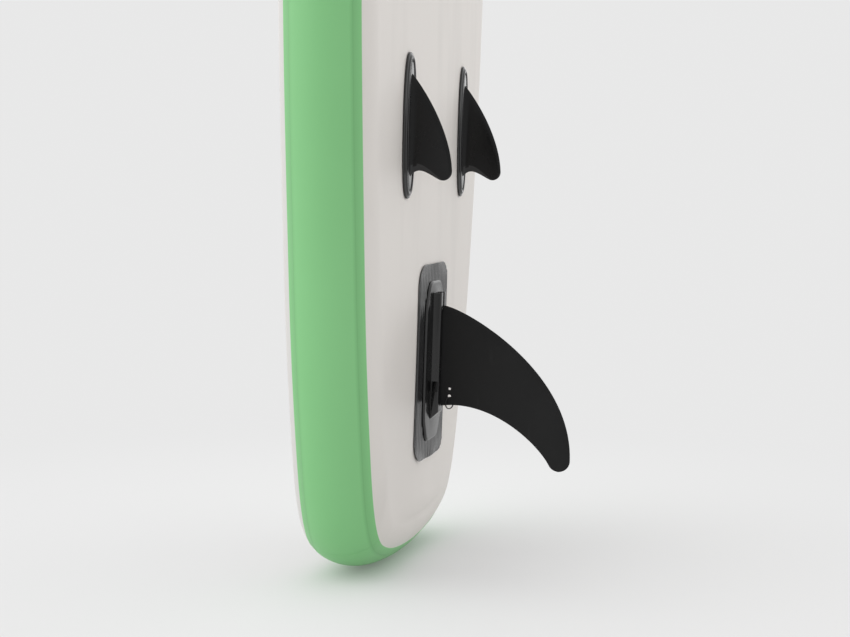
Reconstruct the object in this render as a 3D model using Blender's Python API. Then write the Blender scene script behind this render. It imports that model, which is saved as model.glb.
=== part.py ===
"""Inflatable stand up paddleboard, standing upright on its tail.

Axes: +Z runs from the tail to the nose, -Y is the bottom (fin) side, +Y is the deck side.
The origin is the lowest point of the tail, on the board's centre plane. Units are metres.
"""
import math

import bmesh
import bpy
from mathutils import Euler, Matrix, Vector

# Hull
LENGTH = 3.20
MID_HALF_WIDTH = 0.408
RAIL_THICKNESS = 0.150
BOTTOM_CROWN = 0.0064
DECK_CROWN = 0.0030
TAIL_ROCKER = 0.0228
TAIL_ROCKER_LENGTH = 1.44
NOSE_ROCKER = 0.170
NOSE_ROCKER_LENGTH = 1.20
# (distance from the end, half width), read along the board from its tail and from its nose
TAIL_TEMPLATE = (
    (0.012, 0.139), (0.038, 0.209), (0.100, 0.259),
    (0.225, 0.300), (0.475, 0.349), (1.060, 0.402),
)
NOSE_TEMPLATE = (
    (0.015, 0.098), (0.060, 0.178), (0.160, 0.250),
    (0.400, 0.330), (0.800, 0.384), (1.200, 0.403),
)
SKIN = 0.0012
GAP = 0.0003
BOTTOM_SEAM = math.radians(54.5)
DECK_SEAM = math.radians(-45.0)
TAIL_BAND_REACH = 0.230
STATIONS = 34
TURN_SHARE = 0.55
HEADING_STEP = 0.004

# Fin patch, fin box and centre fin
FIN_CENTRE_Z = 0.331
PATCH_LENGTH = 0.320
PATCH_WIDTH = 0.180
PATCH_CORNER = 0.035
SHEET = 0.0015
PLATE_LENGTH = 0.264
PLATE_WIDTH = 0.108
PLATE_END_WIDTH = 0.056
PLATE_TAPER = 0.036
PLATE_THICKNESS = 0.0040
CHANNEL_WIDTH = 0.036
CHANNEL_HEIGHT = 0.0165
CHANNEL_FRONT = 0.113
CHANNEL_REAR = -0.098
CHANNEL_END_SLOPE = 0.014
FIN_BOX_FLOOR = 0.0043
ROOT_FRONT = 0.0915
FIN_CHORD = 0.1663
FOOT_INSET = 0.0030
NECK_WIDTH = 0.0070
FOOT_WIDTH = 0.0180
FOOT_HEIGHT = 0.0050
SLOT_CLEARANCE = 0.0005
FIN_ROOT_THICKNESS = 0.0085
FIN_TIP_THICKNESS = 0.0036
FIN_TIP_RADIUS = 0.0186
FIN_TIP_AFT = 0.2428
FIN_DEPTH = 0.2195
# how the edges' curves are pulled: shares of the tip's distance aft (or of the root's chord) and of the depth
FIN_LEADING_PULL = ((0.0, 0.137), (0.379, 1.0))
FIN_TRAILING_PULL = ((0.900, 0.395), (0.904, 0.757))
FIN_TIP_SHARE = 0.86
HOLE_RADIUS = 0.0030
HOLE_DEPTH = 0.0147
HOLES_AFT = (0.1371, 0.1494)
RING_RADIUS = 0.0095
RING_WIRE = 0.0008
RING_TWIST = math.radians(-28.0)
LATCH_AFT = 0.1330
LATCH_LENGTH = 0.0150
LATCH_HEIGHT = 0.0090
LATCH_BITE = 0.0035
LATCH_RECESS = 0.0012
BOX_LIFT = 0.0003
PLATE_BEVEL = 0.0030
CHANNEL_DRAFT = 0.0015
CHANNEL_CHAMFER = 0.0020

# Side fins
SIDE_FIN_X = 0.171
SIDE_FIN_Z = 0.7103
BASE_LENGTH = 0.2235
BASE_WIDTH = 0.0560
BASE_RIM = 0.0060
BASE_FLOOR = 0.0025
BASE_WALL = 0.0130
# the base's edge from outside to inside: (share of the wall, share of the rim's height)
BASE_PROFILE = ((0.0, 0.0), (0.0, 0.27), (0.25, 0.50), (0.50, 0.92), (0.66, 1.0), (0.84, 0.86))
SIDE_BASE_LIFT = 0.0002
SIDE_FOOT_CLEARANCE = 0.0012
SIDE_FOOT_THICKNESS = 0.0022
SIDE_FIN_FRONT = 0.0795
SIDE_FIN_CHORD = 0.1570
SIDE_FIN_DEPTH = 0.0667
SIDE_FIN_THICKNESS = 0.0058
SIDE_FIN_FLARE = 0.0060
SIDE_TIP_RADIUS = 0.0142
SIDE_LEADING_PULL = ((0.287, 0.555), (0.637, 0.952))
SIDE_TRAILING_PULL = ((0.884, 0.190), (0.961, 0.400))
SIDE_TIP_SHARE = 0.84

# Deck pad and carry handle
PAD_REAR = 0.340
PAD_FRONT = 2.150
PAD_HALF_WIDTH = 0.290
PAD_MARGIN = 0.105
PAD_END_TAPER = 0.030
PAD_THICKNESS = 0.0050
PAD_LIFT = 0.0006
HANDLE_Z = 1.580
HANDLE_LENGTH = 0.300
HANDLE_PATCH = (0.110, 0.080)
HANDLE_PATCH_CORNER = 0.025
HANDLE_PATCH_PAST = 0.016
HANDLE_FLAT = 0.040
HANDLE_RISE = 0.044
WEBBING_WIDTH = 0.038
WEBBING = 0.0028
GRIP_LENGTH = 0.125
GRIP_RADIUS = 0.0140
GRIP_WALL = 0.0040
PAD_WINDOW = (0.130, 0.420)

# D-rings
RING_SPOTS = {
    "tail": (0.0, 0.150),
    "nose": (0.0, 2.990),
    "deck_rear_left": (-0.230, 2.300),
    "deck_rear_right": (0.230, 2.300),
    "deck_front_left": (-0.190, 2.640),
    "deck_front_right": (0.190, 2.640),
}
RING_LIFT = 0.0006
RING_LIFT_FACTOR = 3.0
D_WIRE = 0.0025
D_WIDTH = 0.0330
D_REACH = 0.0300
D_CORNER = 0.0040
RING_PATCH_RADIUS = 0.0400
RING_PATCH_SHIFT = 0.0060
TAB_WIDTH = 0.0210
TAB_LENGTH = 0.0220
TAB_WEBBING = 0.0014
PIN_CLEARANCE = 0.0004

# Inflation valve
VALVE_Z = 0.250
FLANGE_RADIUS = 0.0300
FLANGE_THICKNESS = 0.0035
GASKET = 0.0015
TUBE_RADIUS = 0.0215
BORE_RADIUS = 0.0175
TUBE_END = -0.0360
SEAT_RADIUS = 0.0110
SEAT_LIP = 0.0030
NUT_RADIUS = 0.0290
NUT_THICKNESS = 0.0070
NUT_GAP = 0.0005
STEM_RADIUS = 0.0025
HEAD_RADIUS = 0.0055
HEAD_THICKNESS = 0.0025
HEAD_BELOW_CAP = 0.0096
GUIDE_DEPTH = 0.0240
GUIDE_THICKNESS = 0.0030
GUIDE_HUB = 0.0060
GUIDE_RIM = 0.0018
GUIDE_ARM = 0.0030
POPPET_RADIUS = 0.0140
POPPET_THICKNESS = 0.0020
SEAL_THICKNESS = 0.0016
SPRING_WIRE = 0.0005
SPRING_TURNS = 4
PRESS_TRAVEL = 0.0050
CAP_RADIUS = 0.0240
CAP_THICKNESS = 0.0035
CAP_PLUG_LENGTH = 0.0070
CAP_SEAL = 0.0010
WING_SPREAD = 0.0120
WING_LENGTH = 0.0180
WING_THICKNESS = 0.0030
WING_HEIGHT = 0.0050
TETHER_WIDTH = 0.0080
TETHER_THICKNESS = 0.0015
TETHER_REACH = 0.0160

ROUND = 24


# ---------------------------------------------------------------- scene and materials

for old in list(bpy.data.objects):
    bpy.data.objects.remove(old, do_unlink=True)


def material(name, color, roughness, metallic=0.0):
    """A Principled material in one plain colour."""
    found = bpy.data.materials.get(name)
    if found:
        return found
    made = bpy.data.materials.new(name)
    made.use_nodes = True
    shader = made.node_tree.nodes["Principled BSDF"]
    shader.inputs["Base Color"].default_value = (*color, 1.0)
    shader.inputs["Roughness"].default_value = roughness
    shader.inputs["Metallic"].default_value = metallic
    return made


CORE_FABRIC = material("core_fabric", (0.62, 0.62, 0.60), 0.8)
WHITE_PVC = material("white_pvc", (0.66, 0.64, 0.62), 0.45)
DECK_PVC = material("deck_pvc", (0.74, 0.73, 0.70), 0.5)
GREEN_PVC = material("green_pvc", (0.22, 0.50, 0.23), 0.45)
GREY_PVC = material("grey_pvc", (0.12, 0.12, 0.12), 0.5)
BLACK_PLASTIC = material("black_plastic", (0.02, 0.02, 0.02), 0.4)
BLACK_RUBBER = material("black_rubber", (0.018, 0.018, 0.018), 0.5)
PAD_FOAM = material("pad_foam", (0.20, 0.22, 0.22), 0.85)
BLACK_WEBBING = material("black_webbing", (0.03, 0.03, 0.03), 0.8)
GREY_PLASTIC = material("grey_plastic", (0.30, 0.30, 0.30), 0.4)
STEEL = material("steel", (0.60, 0.60, 0.60), 0.25, 1.0)
BLACK_STEEL = material("black_steel", (0.03, 0.03, 0.03), 0.35, 1.0)


def new_object(name, mesh, finish, parent=None, place=(0.0, 0.0, 0.0)):
    """Link a mesh as a named object, under a parent when one is given."""
    part = bpy.data.objects.new(name, mesh)
    bpy.context.scene.collection.objects.link(part)
    if not mesh.materials:
        mesh.materials.append(finish)
    part.parent = parent
    part.location = place
    return part


def mesh_from(name, points, faces, smooth=True):
    """A mesh from points and faces, with its faces made to point outwards."""
    mesh = bpy.data.meshes.new(name)
    mesh.from_pydata([tuple(p) for p in points], [], faces)
    bm = bmesh.new()
    bm.from_mesh(mesh)
    bmesh.ops.recalc_face_normals(bm, faces=bm.faces)
    bm.to_mesh(mesh)
    bm.free()
    if smooth:
        mesh.shade_smooth()
        mesh.set_sharp_from_angle(angle=math.radians(35))
    return mesh


def combined(name, base, others, operation):
    """The base mesh joined with, or cut by, other meshes, as one new mesh."""
    helpers = [bpy.data.objects.new(f"{name}_step_{i}", m) for i, m in enumerate([base, *others])]
    for helper in helpers:
        bpy.context.scene.collection.objects.link(helper)
    for tool in helpers[1:]:
        step = helpers[0].modifiers.new("step", "BOOLEAN")
        step.operation = operation
        step.solver = "EXACT"
        step.object = tool
    bpy.context.view_layer.update()
    evaluated = helpers[0].evaluated_get(bpy.context.evaluated_depsgraph_get())
    result = bpy.data.meshes.new_from_object(evaluated)
    result.name = name
    for helper in helpers:
        bpy.data.objects.remove(helper, do_unlink=True)
    result.materials.clear()
    result.shade_smooth()
    result.set_sharp_from_angle(angle=math.radians(35))
    return result


# ---------------------------------------------------------------- simple solids, made in a local frame


def box_mesh(name, low, high):
    """A box between two corners."""
    xs, ys, zs = zip(low, high)
    points = [(x, y, z) for x in xs for y in ys for z in zs]
    faces = [(0, 1, 3, 2), (4, 6, 7, 5), (0, 4, 5, 1), (2, 3, 7, 6), (0, 2, 6, 4), (1, 5, 7, 3)]
    return mesh_from(name, points, faces, smooth=False)


def lofted(name, loops):
    """A closed body through loops of equal length, with flat ends."""
    count = len(loops[0])
    points = [p for loop in loops for p in loop]
    faces = [tuple(range(count)), tuple(range(len(points) - count, len(points)))]
    for row in range(len(loops) - 1):
        a = row * count
        for i in range(count):
            j = (i + 1) % count
            faces.append((a + i, a + j, a + count + j, a + count + i))
    return mesh_from(name, points, faces)


def turned(name, profile, steps=ROUND):
    """A ring turned about local Z from a closed profile of (radius, height) points."""
    loops = []
    for i in range(steps):
        angle = 2 * math.pi * i / steps
        loops.append([(r * math.cos(angle), r * math.sin(angle), h) for r, h in profile])
    count = len(profile)
    points = [p for loop in loops for p in loop]
    faces = []
    for i in range(steps):
        a, b = i * count, (i + 1) % steps * count
        for k in range(count):
            n = (k + 1) % count
            faces.append((a + k, b + k, b + n, a + n))
    return mesh_from(name, points, faces)


def circle(radius, height, steps=ROUND, centre=(0.0, 0.0)):
    """Points of a circle at one height."""
    angles = [2 * math.pi * i / steps for i in range(steps)]
    return [(centre[0] + radius * math.cos(a), centre[1] + radius * math.sin(a), height) for a in angles]


def disc(name, radius, low, high, steps=ROUND, centre=(0.0, 0.0)):
    """An upright cylinder."""
    return lofted(name, [circle(radius, h, steps, centre) for h in (low, high)])


def oval(half_width, half_length, height, steps=32, power=2.6):
    """Points of a long oval, longest along local Y, at one height."""
    points = []
    for i in range(steps):
        angle = 2 * math.pi * i / steps
        c, s = math.cos(angle), math.sin(angle)
        x = half_width * math.copysign(abs(c) ** (2 / power), c)
        y = half_length * math.copysign(abs(s) ** (2 / power), s)
        points.append((x, y, height))
    return points


def tube_along(name, path, radius, sides=8, closed=False):
    """A round bar of one radius along a flat or curved path of points."""
    path = [Vector(p) for p in path]
    count = len(path)
    ahead = [path[(i + 1) % count] - path[i - 1] for i in range(count)]
    if not closed:
        ahead[0], ahead[-1] = path[1] - path[0], path[-1] - path[-2]
    side = ahead[0].orthogonal().normalized()
    loops = []
    for centre, direction in zip(path, ahead):
        direction.normalize()
        side = (side - direction * side.dot(direction)).normalized()
        other = direction.cross(side)
        angles = [2 * math.pi * i / sides for i in range(sides)]
        loops.append([centre + radius * (side * math.cos(a) + other * math.sin(a)) for a in angles])
    if not closed:
        return lofted(name, loops)
    points = [p for loop in loops for p in loop]
    faces = []
    for i in range(count):
        a, b = i * sides, (i + 1) % count * sides
        for k in range(sides):
            n = (k + 1) % sides
            faces.append((a + k, a + n, b + n, b + k))
    return mesh_from(name, points, faces)


# ---------------------------------------------------------------- hull shape


def smooth_through(knots, x):
    """A smooth curve through (x, value) knots that never overshoots them."""
    slopes = [(b[1] - a[1]) / (b[0] - a[0]) for a, b in zip(knots, knots[1:])]
    bends = [slopes[0]]
    for before, after in zip(slopes, slopes[1:]):
        bends.append(0.0 if before * after <= 0 else 2 * before * after / (before + after))
    bends.append(slopes[-1])
    for (x0, y0), (x1, y1), m0, m1 in zip(knots, knots[1:], bends, bends[1:]):
        if x <= x1:
            break
    h = x1 - x0
    t = (x - x0) / h
    rise = (1 + 2 * t) * (1 - t) ** 2 * y0 + t * t * (3 - 2 * t) * y1
    return rise + h * (t * (1 - t) ** 2 * m0 + t * t * (t - 1) * m1)


def template_width(template, distance):
    """Half width at a distance from an end. Its curve runs on the root of the distance: ends are round."""
    knots = [(0.0, 0.0)] + [(math.sqrt(d), w) for d, w in template]
    knots.append((math.sqrt(LENGTH / 2), MID_HALF_WIDTH))
    return smooth_through(knots, math.sqrt(distance))


def half_width(z):
    """Half of the board's width at a height."""
    if z <= LENGTH / 2:
        return template_width(TAIL_TEMPLATE, max(z, 0.0))
    return template_width(NOSE_TEMPLATE, max(LENGTH - z, 0.0))


def middle_y(z):
    """The board's mid-plane: flat amidships, lifted to the deck side at tail and nose."""
    tail = TAIL_ROCKER * (max(TAIL_ROCKER_LENGTH - z, 0.0) / TAIL_ROCKER_LENGTH) ** 2
    nose = NOSE_ROCKER * (max(z - LENGTH + NOSE_ROCKER_LENGTH, 0.0) / NOSE_ROCKER_LENGTH) ** 2.2
    return tail + nose - TAIL_ROCKER


RAIL_RADIUS = RAIL_THICKNESS / 2


def flat_y(x, z, deck):
    """The crowned deck or bottom surface, inboard of the rails."""
    share = min(abs(x) / (half_width(z) - RAIL_RADIUS), 1.0)
    if deck:
        return middle_y(z) + RAIL_RADIUS + DECK_CROWN * (1 - share**2)
    return middle_y(z) - RAIL_RADIUS - BOTTOM_CROWN * (1 - share**2)


def outline_points(count=3000):
    """The outline from tail to nose, with its length and its turning added up along it."""
    points = []
    for i in range(count + 1):
        t = 1 - math.cos(math.pi * i / count)
        z = LENGTH / 2 * t
        points.append((half_width(z), z))
    points[0], points[-1] = (0.0, 0.0), (0.0, LENGTH)
    run, turn = [0.0], [0.0]
    heading = 0.0
    for (x0, z0), (x1, z1) in zip(points, points[1:]):
        now = math.atan2(z1 - z0, x1 - x0)
        run.append(run[-1] + math.hypot(x1 - x0, z1 - z0))
        turn.append(turn[-1] + abs(now - heading))
        heading = now
    return points, run, turn


OUTLINE, RUN, TURN = outline_points()


def between(values, keys, key):
    """The value at a key, by straight lines between the listed keys."""
    low, high = 0, len(keys) - 1
    while high - low > 1:
        middle = (low + high) // 2
        if keys[middle] <= key:
            low = middle
        else:
            high = middle
    share = (key - keys[low]) / (keys[high] - keys[low])
    return values[low] + (values[high] - values[low]) * share


def outline_at(run):
    """The outline's (x, z) at a distance along it, carried on over the centre line past either end."""
    side = 1
    if run < 0.0:
        side, run = -1, -run
    if run > RUN[-1]:
        side, run = -1, 2 * RUN[-1] - run
    x = between([p[0] for p in OUTLINE], RUN, run)
    return side * x, between([p[1] for p in OUTLINE], RUN, run)


def run_of_station(i):
    """How far along the outline station i lies: closer together where the outline turns."""
    length, turning = RUN[-1], TURN[-1]
    mixed = [(1 - TURN_SHARE) * r / length + TURN_SHARE * t / turning for r, t in zip(RUN, TURN)]
    return between(RUN, mixed, i / STATIONS)


class Station:
    """One cross-section of the hull, square to the outline, on the left (-1) or right (+1) side."""

    def __init__(self, run, side):
        x, z = outline_at(run)
        behind, ahead = outline_at(run - HEADING_STEP), outline_at(run + HEADING_STEP)
        along = Vector((ahead[0] - behind[0], 0.0, ahead[1] - behind[1])).normalized()
        self.out = Vector((side * along.z, 0.0, -along.x))
        self.edge = Vector((side * x, 0.0, z))
        spine = SPINE_ENDS[0] + (SPINE_ENDS[1] - SPINE_ENDS[0]) * z / LENGTH
        self.spine = Vector((0.0, 0.0, spine))

    def rail(self, angle, inset=0.0):
        """A point on the round rail: angle 0 is the outermost line, +90 degrees faces the bottom."""
        reach = (RAIL_RADIUS - inset) * math.cos(angle) - RAIL_RADIUS
        point = self.edge + self.out * reach
        point.y = middle_y(point.z) - (RAIL_RADIUS - inset) * math.sin(angle)
        return point

    def flat(self, share, deck, inset=0.0):
        """A point on the deck or bottom: share 0 is the centre line, 1 is where the rail begins."""
        inner = self.edge - self.out * RAIL_RADIUS
        point = self.spine.lerp(inner, share)
        crown = (DECK_CROWN if deck else BOTTOM_CROWN) * (1 - share**2)
        height = RAIL_RADIUS + crown - inset
        point.y = middle_y(point.z) + (height if deck else -height)
        return point


SPINE_INSET = RAIL_RADIUS + 0.035
SPINE_ENDS = (SPINE_INSET, LENGTH - SPINE_INSET)
RAIL_ANGLES = [math.radians(a) for a in (-67.5, -45.0, -22.5, 0.0, 22.5, 45.0, 67.5)]
SHARES = (0.0, 0.5, 1.0)


def hull_rows(sides=(-1, 1)):
    """Stations for each side, from the tail to the nose."""
    return [[Station(run_of_station(i), side) for i in range(STATIONS + 1)] for side in sides]


class Shell:
    """Gathers quads given as outer points, or as outer and inner points, and closes their edge."""

    def __init__(self):
        self.index, self.points, self.faces = {}, [], []

    def corner(self, pair):
        key = tuple(round(v * 1e5) for v in pair[0])
        if key not in self.index:
            self.index[key] = len(self.points)
            self.points.append(pair)
        return self.index[key]

    def grid(self, rows):
        """Rows of (outer, inner) pairs, where inner is None on a solid's own surface.

        Every quad is split the same way, so that sheets over one another stay parallel.
        """
        for row, following in zip(rows, rows[1:]):
            for i in range(len(row) - 1):
                a, b, c, d = [self.corner(p) for p in (row[i], row[i + 1], following[i + 1], following[i])]
                self.faces += [t for t in ((a, b, c), (a, c, d)) if len(set(t)) == 3]

    def mesh(self, name):
        outer = [p[0] for p in self.points]
        if self.points[0][1] is None:
            return mesh_from(name, outer, self.faces)
        inner = [p[1] for p in self.points]
        count = len(outer)
        faces = self.faces + [tuple(count + i for i in reversed(f)) for f in self.faces]
        used = {}
        for face in self.faces:
            for a, b in zip(face, face[1:] + face[:1]):
                used.setdefault(frozenset((a, b)), []).append((a, b))
        for edges in used.values():
            if len(edges) == 1:
                a, b = edges[0]
                faces.append((b, a, count + a, count + b))
        return mesh_from(name, outer + inner, faces)


def make_core():
    """The drop-stitch core: the whole inflated body under its skins, with a pocket for the valve."""
    shell = Shell()
    inset = SKIN + GAP
    for stations in hull_rows():
        rows = []
        for s in stations:
            row = [s.flat(f, True, inset) for f in SHARES]
            row += [s.rail(a, inset) for a in RAIL_ANGLES]
            row += [s.flat(f, False, inset) for f in reversed(SHARES)]
            rows.append([(p, None) for p in row])
        shell.grid(rows)
    core = shell.mesh("core")
    shaft = disc("shaft", TUBE_RADIUS + 2 * GAP, POPPET_LOW - PRESS_TRAVEL - 0.001, 0.005)
    room = disc("room", NUT_RADIUS + 0.001, NUT_TOP - NUT_THICKNESS - 0.0005, 0.003)
    for tool in (shaft, room):
        tool.transform(valve_seat())
    return new_object("dropstitch_core", combined("core_cut", core, [shaft, room], "DIFFERENCE"), CORE_FABRIC)


def make_skin(name, deck, finish, cutters=()):
    """The bottom or deck skin: a thin sheet over the flat and the start of both rails."""
    shell = Shell()
    seam = DECK_SEAM if deck else BOTTOM_SEAM
    kept = [a for a in RAIL_ANGLES if (a < seam if deck else a > seam)]
    wrap = sorted([seam, *kept])
    for stations in hull_rows():
        rows = []
        for s in stations:
            flats = [(s.flat(f, deck), s.flat(f, deck, SKIN)) for f in SHARES]
            rails = [(s.rail(a), s.rail(a, SKIN)) for a in wrap]
            rows.append(flats + rails if deck else rails + flats[::-1])
        shell.grid(rows)
    mesh = shell.mesh(name)
    if cutters:
        mesh = combined(name, mesh, list(cutters), "DIFFERENCE")
    return new_object(name, mesh, finish)


def make_band(name, runs, sides, finish):
    """A stretch of the green rail band, between two distances along the outline, on one or both sides."""
    trim = GAP / RAIL_RADIUS
    inside = [a for a in RAIL_ANGLES if DECK_SEAM + trim < a < BOTTOM_SEAM - trim]
    angles = [DECK_SEAM + trim, *inside, BOTTOM_SEAM - trim]
    own = [run_of_station(i) for i in range(STATIONS + 1)]
    kept = [r for r in own if runs[0] + 0.001 < r < runs[1] - 0.001]
    shell = Shell()
    for side in sides:
        stations = [Station(r, side) for r in (runs[0], *kept, runs[1])]
        shell.grid([[(s.rail(a), s.rail(a, SKIN)) for a in angles] for s in stations])
    return new_object(name, shell.mesh(name), finish)


def make_rail_bands():
    """One band on each side, and a short one round the tail that the board stands on."""
    for name, side in (("rail_band_left", -1), ("rail_band_right", 1)):
        make_band(name, (TAIL_BAND_REACH + GAP, RUN[-1] - GAP / 2), (side,), GREEN_PVC)
    make_band("tail_band", (0.0, TAIL_BAND_REACH), (-1, 1), GREEN_PVC)


# ---------------------------------------------------------------- seats on the hull


def hollow_rise(x, z, deck, reach):
    """How far the hull stands above its own tangent at a reach, where it is dished along the board."""
    ends = (flat_y(x, z + reach, deck) + flat_y(x, z - reach, deck)) / 2 - flat_y(x, z, deck)
    return max(ends if deck else -ends, 0.0)


def seat_matrix(x, z, deck, lift=0.0, reach=0.02):
    """A local frame on the hull: Z outwards, Y towards the nose, lifted clear of the skin's curve."""
    ahead = Vector((0.0, flat_y(x, z + reach, deck) - flat_y(x, z - reach, deck), 2 * reach)).normalized()
    across = Vector((2 * reach, flat_y(x + reach, z, deck) - flat_y(x - reach, z, deck), 0.0)).normalized()
    out = across.cross(ahead) if deck else ahead.cross(across)
    out.normalize()
    if (out.y > 0) != deck:
        out.negate()
    across = ahead.cross(out)
    origin = Vector((x, flat_y(x, z, deck), z)) + out * lift
    turn = Matrix((across, ahead, out)).transposed().to_4x4()
    return Matrix.Translation(origin) @ turn


def seat(name, matrix):
    """An empty that carries the pieces mounted at one place on the hull."""
    empty = bpy.data.objects.new(name, None)
    bpy.context.scene.collection.objects.link(empty)
    empty.location = matrix.to_translation()
    empty.rotation_euler = matrix.to_euler()
    bpy.context.view_layer.update()
    return empty


def draped_sheet(name, deck, centre, size, corner, low, thickness, columns=6, rows=9):
    """A sheet with round corners that follows the hull, from a height above the skin."""
    half_w, half_l = size[0] / 2, size[1] / 2
    heights = [-half_l]
    for i in range(1, 4):
        heights.append(-half_l + corner * (1 - math.cos(math.pi / 6 * i)))
    inner = rows - 1
    heights += [(-1 + 2 * i / inner) * (half_l - corner) for i in range(1, inner)]
    heights += [-h for h in reversed(heights[:4])]
    grid = []
    for h in heights:
        past = max(abs(h) - (half_l - corner), 0.0)
        width = half_w - corner + math.sqrt(max(corner**2 - past**2, 0.0))
        row = []
        for k in range(columns + 1):
            x = centre[0] + width * (-1 + 2 * k / columns)
            z = centre[1] + h
            out = 1 if deck else -1
            y = flat_y(x, z, deck)
            row.append((Vector((x, y + out * (low + thickness), z)), Vector((x, y + out * low, z))))
        grid.append(row)
    shell = Shell()
    shell.grid(grid)
    return shell.mesh(name)


# ---------------------------------------------------------------- fin patch and fin box

BOX_BASE = GAP + SHEET + GAP


def fin_seat():
    """The frame of the fin box: its plate's underside, level with the patch's top."""
    return seat_matrix(0.0, FIN_CENTRE_Z, False, lift=BOX_BASE + BOX_LIFT, reach=PLATE_LENGTH / 2)


def make_fin_patch():
    """The sheet glued to the bottom, on which the fin box is moulded."""
    size = (PATCH_WIDTH, PATCH_LENGTH)
    mesh = draped_sheet("fin_patch", False, (0.0, FIN_CENTRE_Z), size, PATCH_CORNER, GAP, SHEET)
    return new_object("fin_patch", mesh, GREY_PVC)


def plate_loop(height, inset=0.0):
    """The fin box plate's outline: straight sides, and ends that taper and are rounded."""
    half_l = PLATE_LENGTH / 2 - inset
    half_w, end_w = PLATE_WIDTH / 2 - inset, PLATE_END_WIDTH / 2 - inset / 2
    taper = half_l - PLATE_TAPER
    quarter = [(half_w, taper - 0.010), (half_w - 0.0025, taper + 0.002)]
    quarter += [(end_w + 0.008, half_l - 0.006), (end_w - 0.001, half_l - 0.0005), (end_w - 0.012, half_l)]
    right = [(x, -y) for x, y in reversed(quarter)] + quarter
    left = [(-x, -y) for x, y in right]
    return [(x, y, height) for x, y in right + left]


def make_fin_box(frame):
    """Plate and raised channel in one moulding, with a slot of T section open at its front end."""
    lip = PLATE_THICKNESS * 0.4
    plate = lofted("plate", [plate_loop(0.0), plate_loop(lip), plate_loop(PLATE_THICKNESS, PLATE_BEVEL)])
    half, top = CHANNEL_WIDTH / 2, CHANNEL_HEIGHT
    shoulder = top - CHANNEL_CHAMFER

    def ring(narrower, rear, height):
        x = half - narrower
        front = CHANNEL_FRONT
        return [(x, rear, height), (x, front, height), (-x, front, height), (-x, rear, height)]

    channel = lofted("channel", [
        ring(0.0, CHANNEL_REAR, PLATE_THICKNESS / 2),
        ring(CHANNEL_DRAFT, CHANNEL_REAR + CHANNEL_END_SLOPE * shoulder / top, shoulder),
        ring(CHANNEL_DRAFT + CHANNEL_CHAMFER, CHANNEL_REAR + CHANNEL_END_SLOPE, top),
    ])
    stop = ROOT_FRONT - FIN_CHORD + FOOT_INSET - SLOT_CLEARANCE
    neck = NECK_WIDTH / 2 + SLOT_CLEARANCE
    foot = FOOT_WIDTH / 2 + SLOT_CLEARANCE
    roof = FIN_BOX_FLOOR + FOOT_HEIGHT + 2 * SLOT_CLEARANCE
    past = CHANNEL_FRONT + 0.030
    tee = box_mesh("tee", (-foot, stop, FIN_BOX_FLOOR), (foot, past, roof))
    slot = box_mesh("slot", (-neck, stop, FIN_BOX_FLOOR + 0.001), (neck, past, top + 0.010))
    y = ROOT_FRONT - LATCH_AFT
    reach = LATCH_LENGTH / 2 + GAP
    low, high = LATCH_LOW - GAP, LATCH_LOW + LATCH_HEIGHT + GAP
    window = box_mesh("window", (-half - 0.002, y - reach, low), (0.0, y + reach, high))
    body = combined("body", plate, [channel], "UNION")
    body = combined("fin_box", body, [tee, slot, window], "DIFFERENCE")
    return new_object("fin_box", body, BLACK_PLASTIC, frame)


LATCH_LOW = PLATE_THICKNESS + LATCH_RECESS
LATCH_TIP = LATCH_BITE - FOOT_WIDTH / 2


def make_fin_latch(frame):
    """The springy latch in the channel's wall, which bites into a notch in the fin's foot."""
    outer = -CHANNEL_WIDTH / 2 + LATCH_RECESS
    half = LATCH_LENGTH / 2
    block = box_mesh("fin_latch", (outer, -half, LATCH_LOW), (LATCH_TIP, half, LATCH_LOW + LATCH_HEIGHT))
    return new_object("fin_latch", block, BLACK_PLASTIC, frame, (0.0, ROOT_FRONT - LATCH_AFT, 0.0))


# ---------------------------------------------------------------- fins

FIN_TIP_CENTRE = (FIN_TIP_AFT, FIN_DEPTH - FIN_TIP_RADIUS)
SIDE_TIP_CENTRE = (SIDE_FIN_CHORD * 0.94, SIDE_FIN_DEPTH - SIDE_TIP_RADIUS)


def bezier(p0, p1, p2, p3, t):
    """A point of a cubic curve in the fin's plane: (distance aft, depth)."""
    a, b, c, d = (1 - t) ** 3, 3 * (1 - t) ** 2 * t, 3 * (1 - t) * t * t, t**3
    return tuple(a * p0[i] + b * p1[i] + c * p2[i] + d * p3[i] for i in (0, 1))


def on_arc(centre, radius, start, end, t):
    """A point of an arc between two angles in degrees."""
    angle = math.radians(start + (end - start) * t)
    return (centre[0] + radius * math.cos(angle), centre[1] + radius * math.sin(angle))


def blade_mesh(name, leading, trailing, thickness, params, front, base):
    """A fin lofted between its leading and trailing edges, with a rounded foil section."""
    steps = (0.0, 0.025, 0.1, 0.3, 0.6, 0.85, 1.0)
    foil = (0.10, 0.46, 0.80, 1.0, 0.88, 0.50, 0.18)
    loops = []
    for t in params:
        lead, trail = leading(t), trailing(t)
        half = thickness(t) / 2
        right, left = [], []
        for share, part in zip(steps, foil):
            aft = lead[0] + (trail[0] - lead[0]) * share
            depth = lead[1] + (trail[1] - lead[1]) * share
            right.append((half * part, front - aft, base + depth))
            left.append((-half * part, front - aft, base + depth))
        loops.append(right + left[::-1])
    return lofted(name, loops)


def swept_edge(t, tip_share, start, pulls, scales, tip):
    """An edge of a fin from its root to its tip's arc, then along that arc.

    The tip is (centre, radius, angle where the arc begins, angle where it ends).
    """
    centre, radius, first, last = tip
    if t >= tip_share:
        return on_arc(centre, radius, first, last, (t - tip_share) / (1 - tip_share))
    pulled = [(pull[0] * scale, pull[1] * scales[2]) for pull, scale in zip(pulls, scales)]
    return bezier(start, *pulled, on_arc(centre, radius, first, last, 0.0), t / tip_share)


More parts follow.
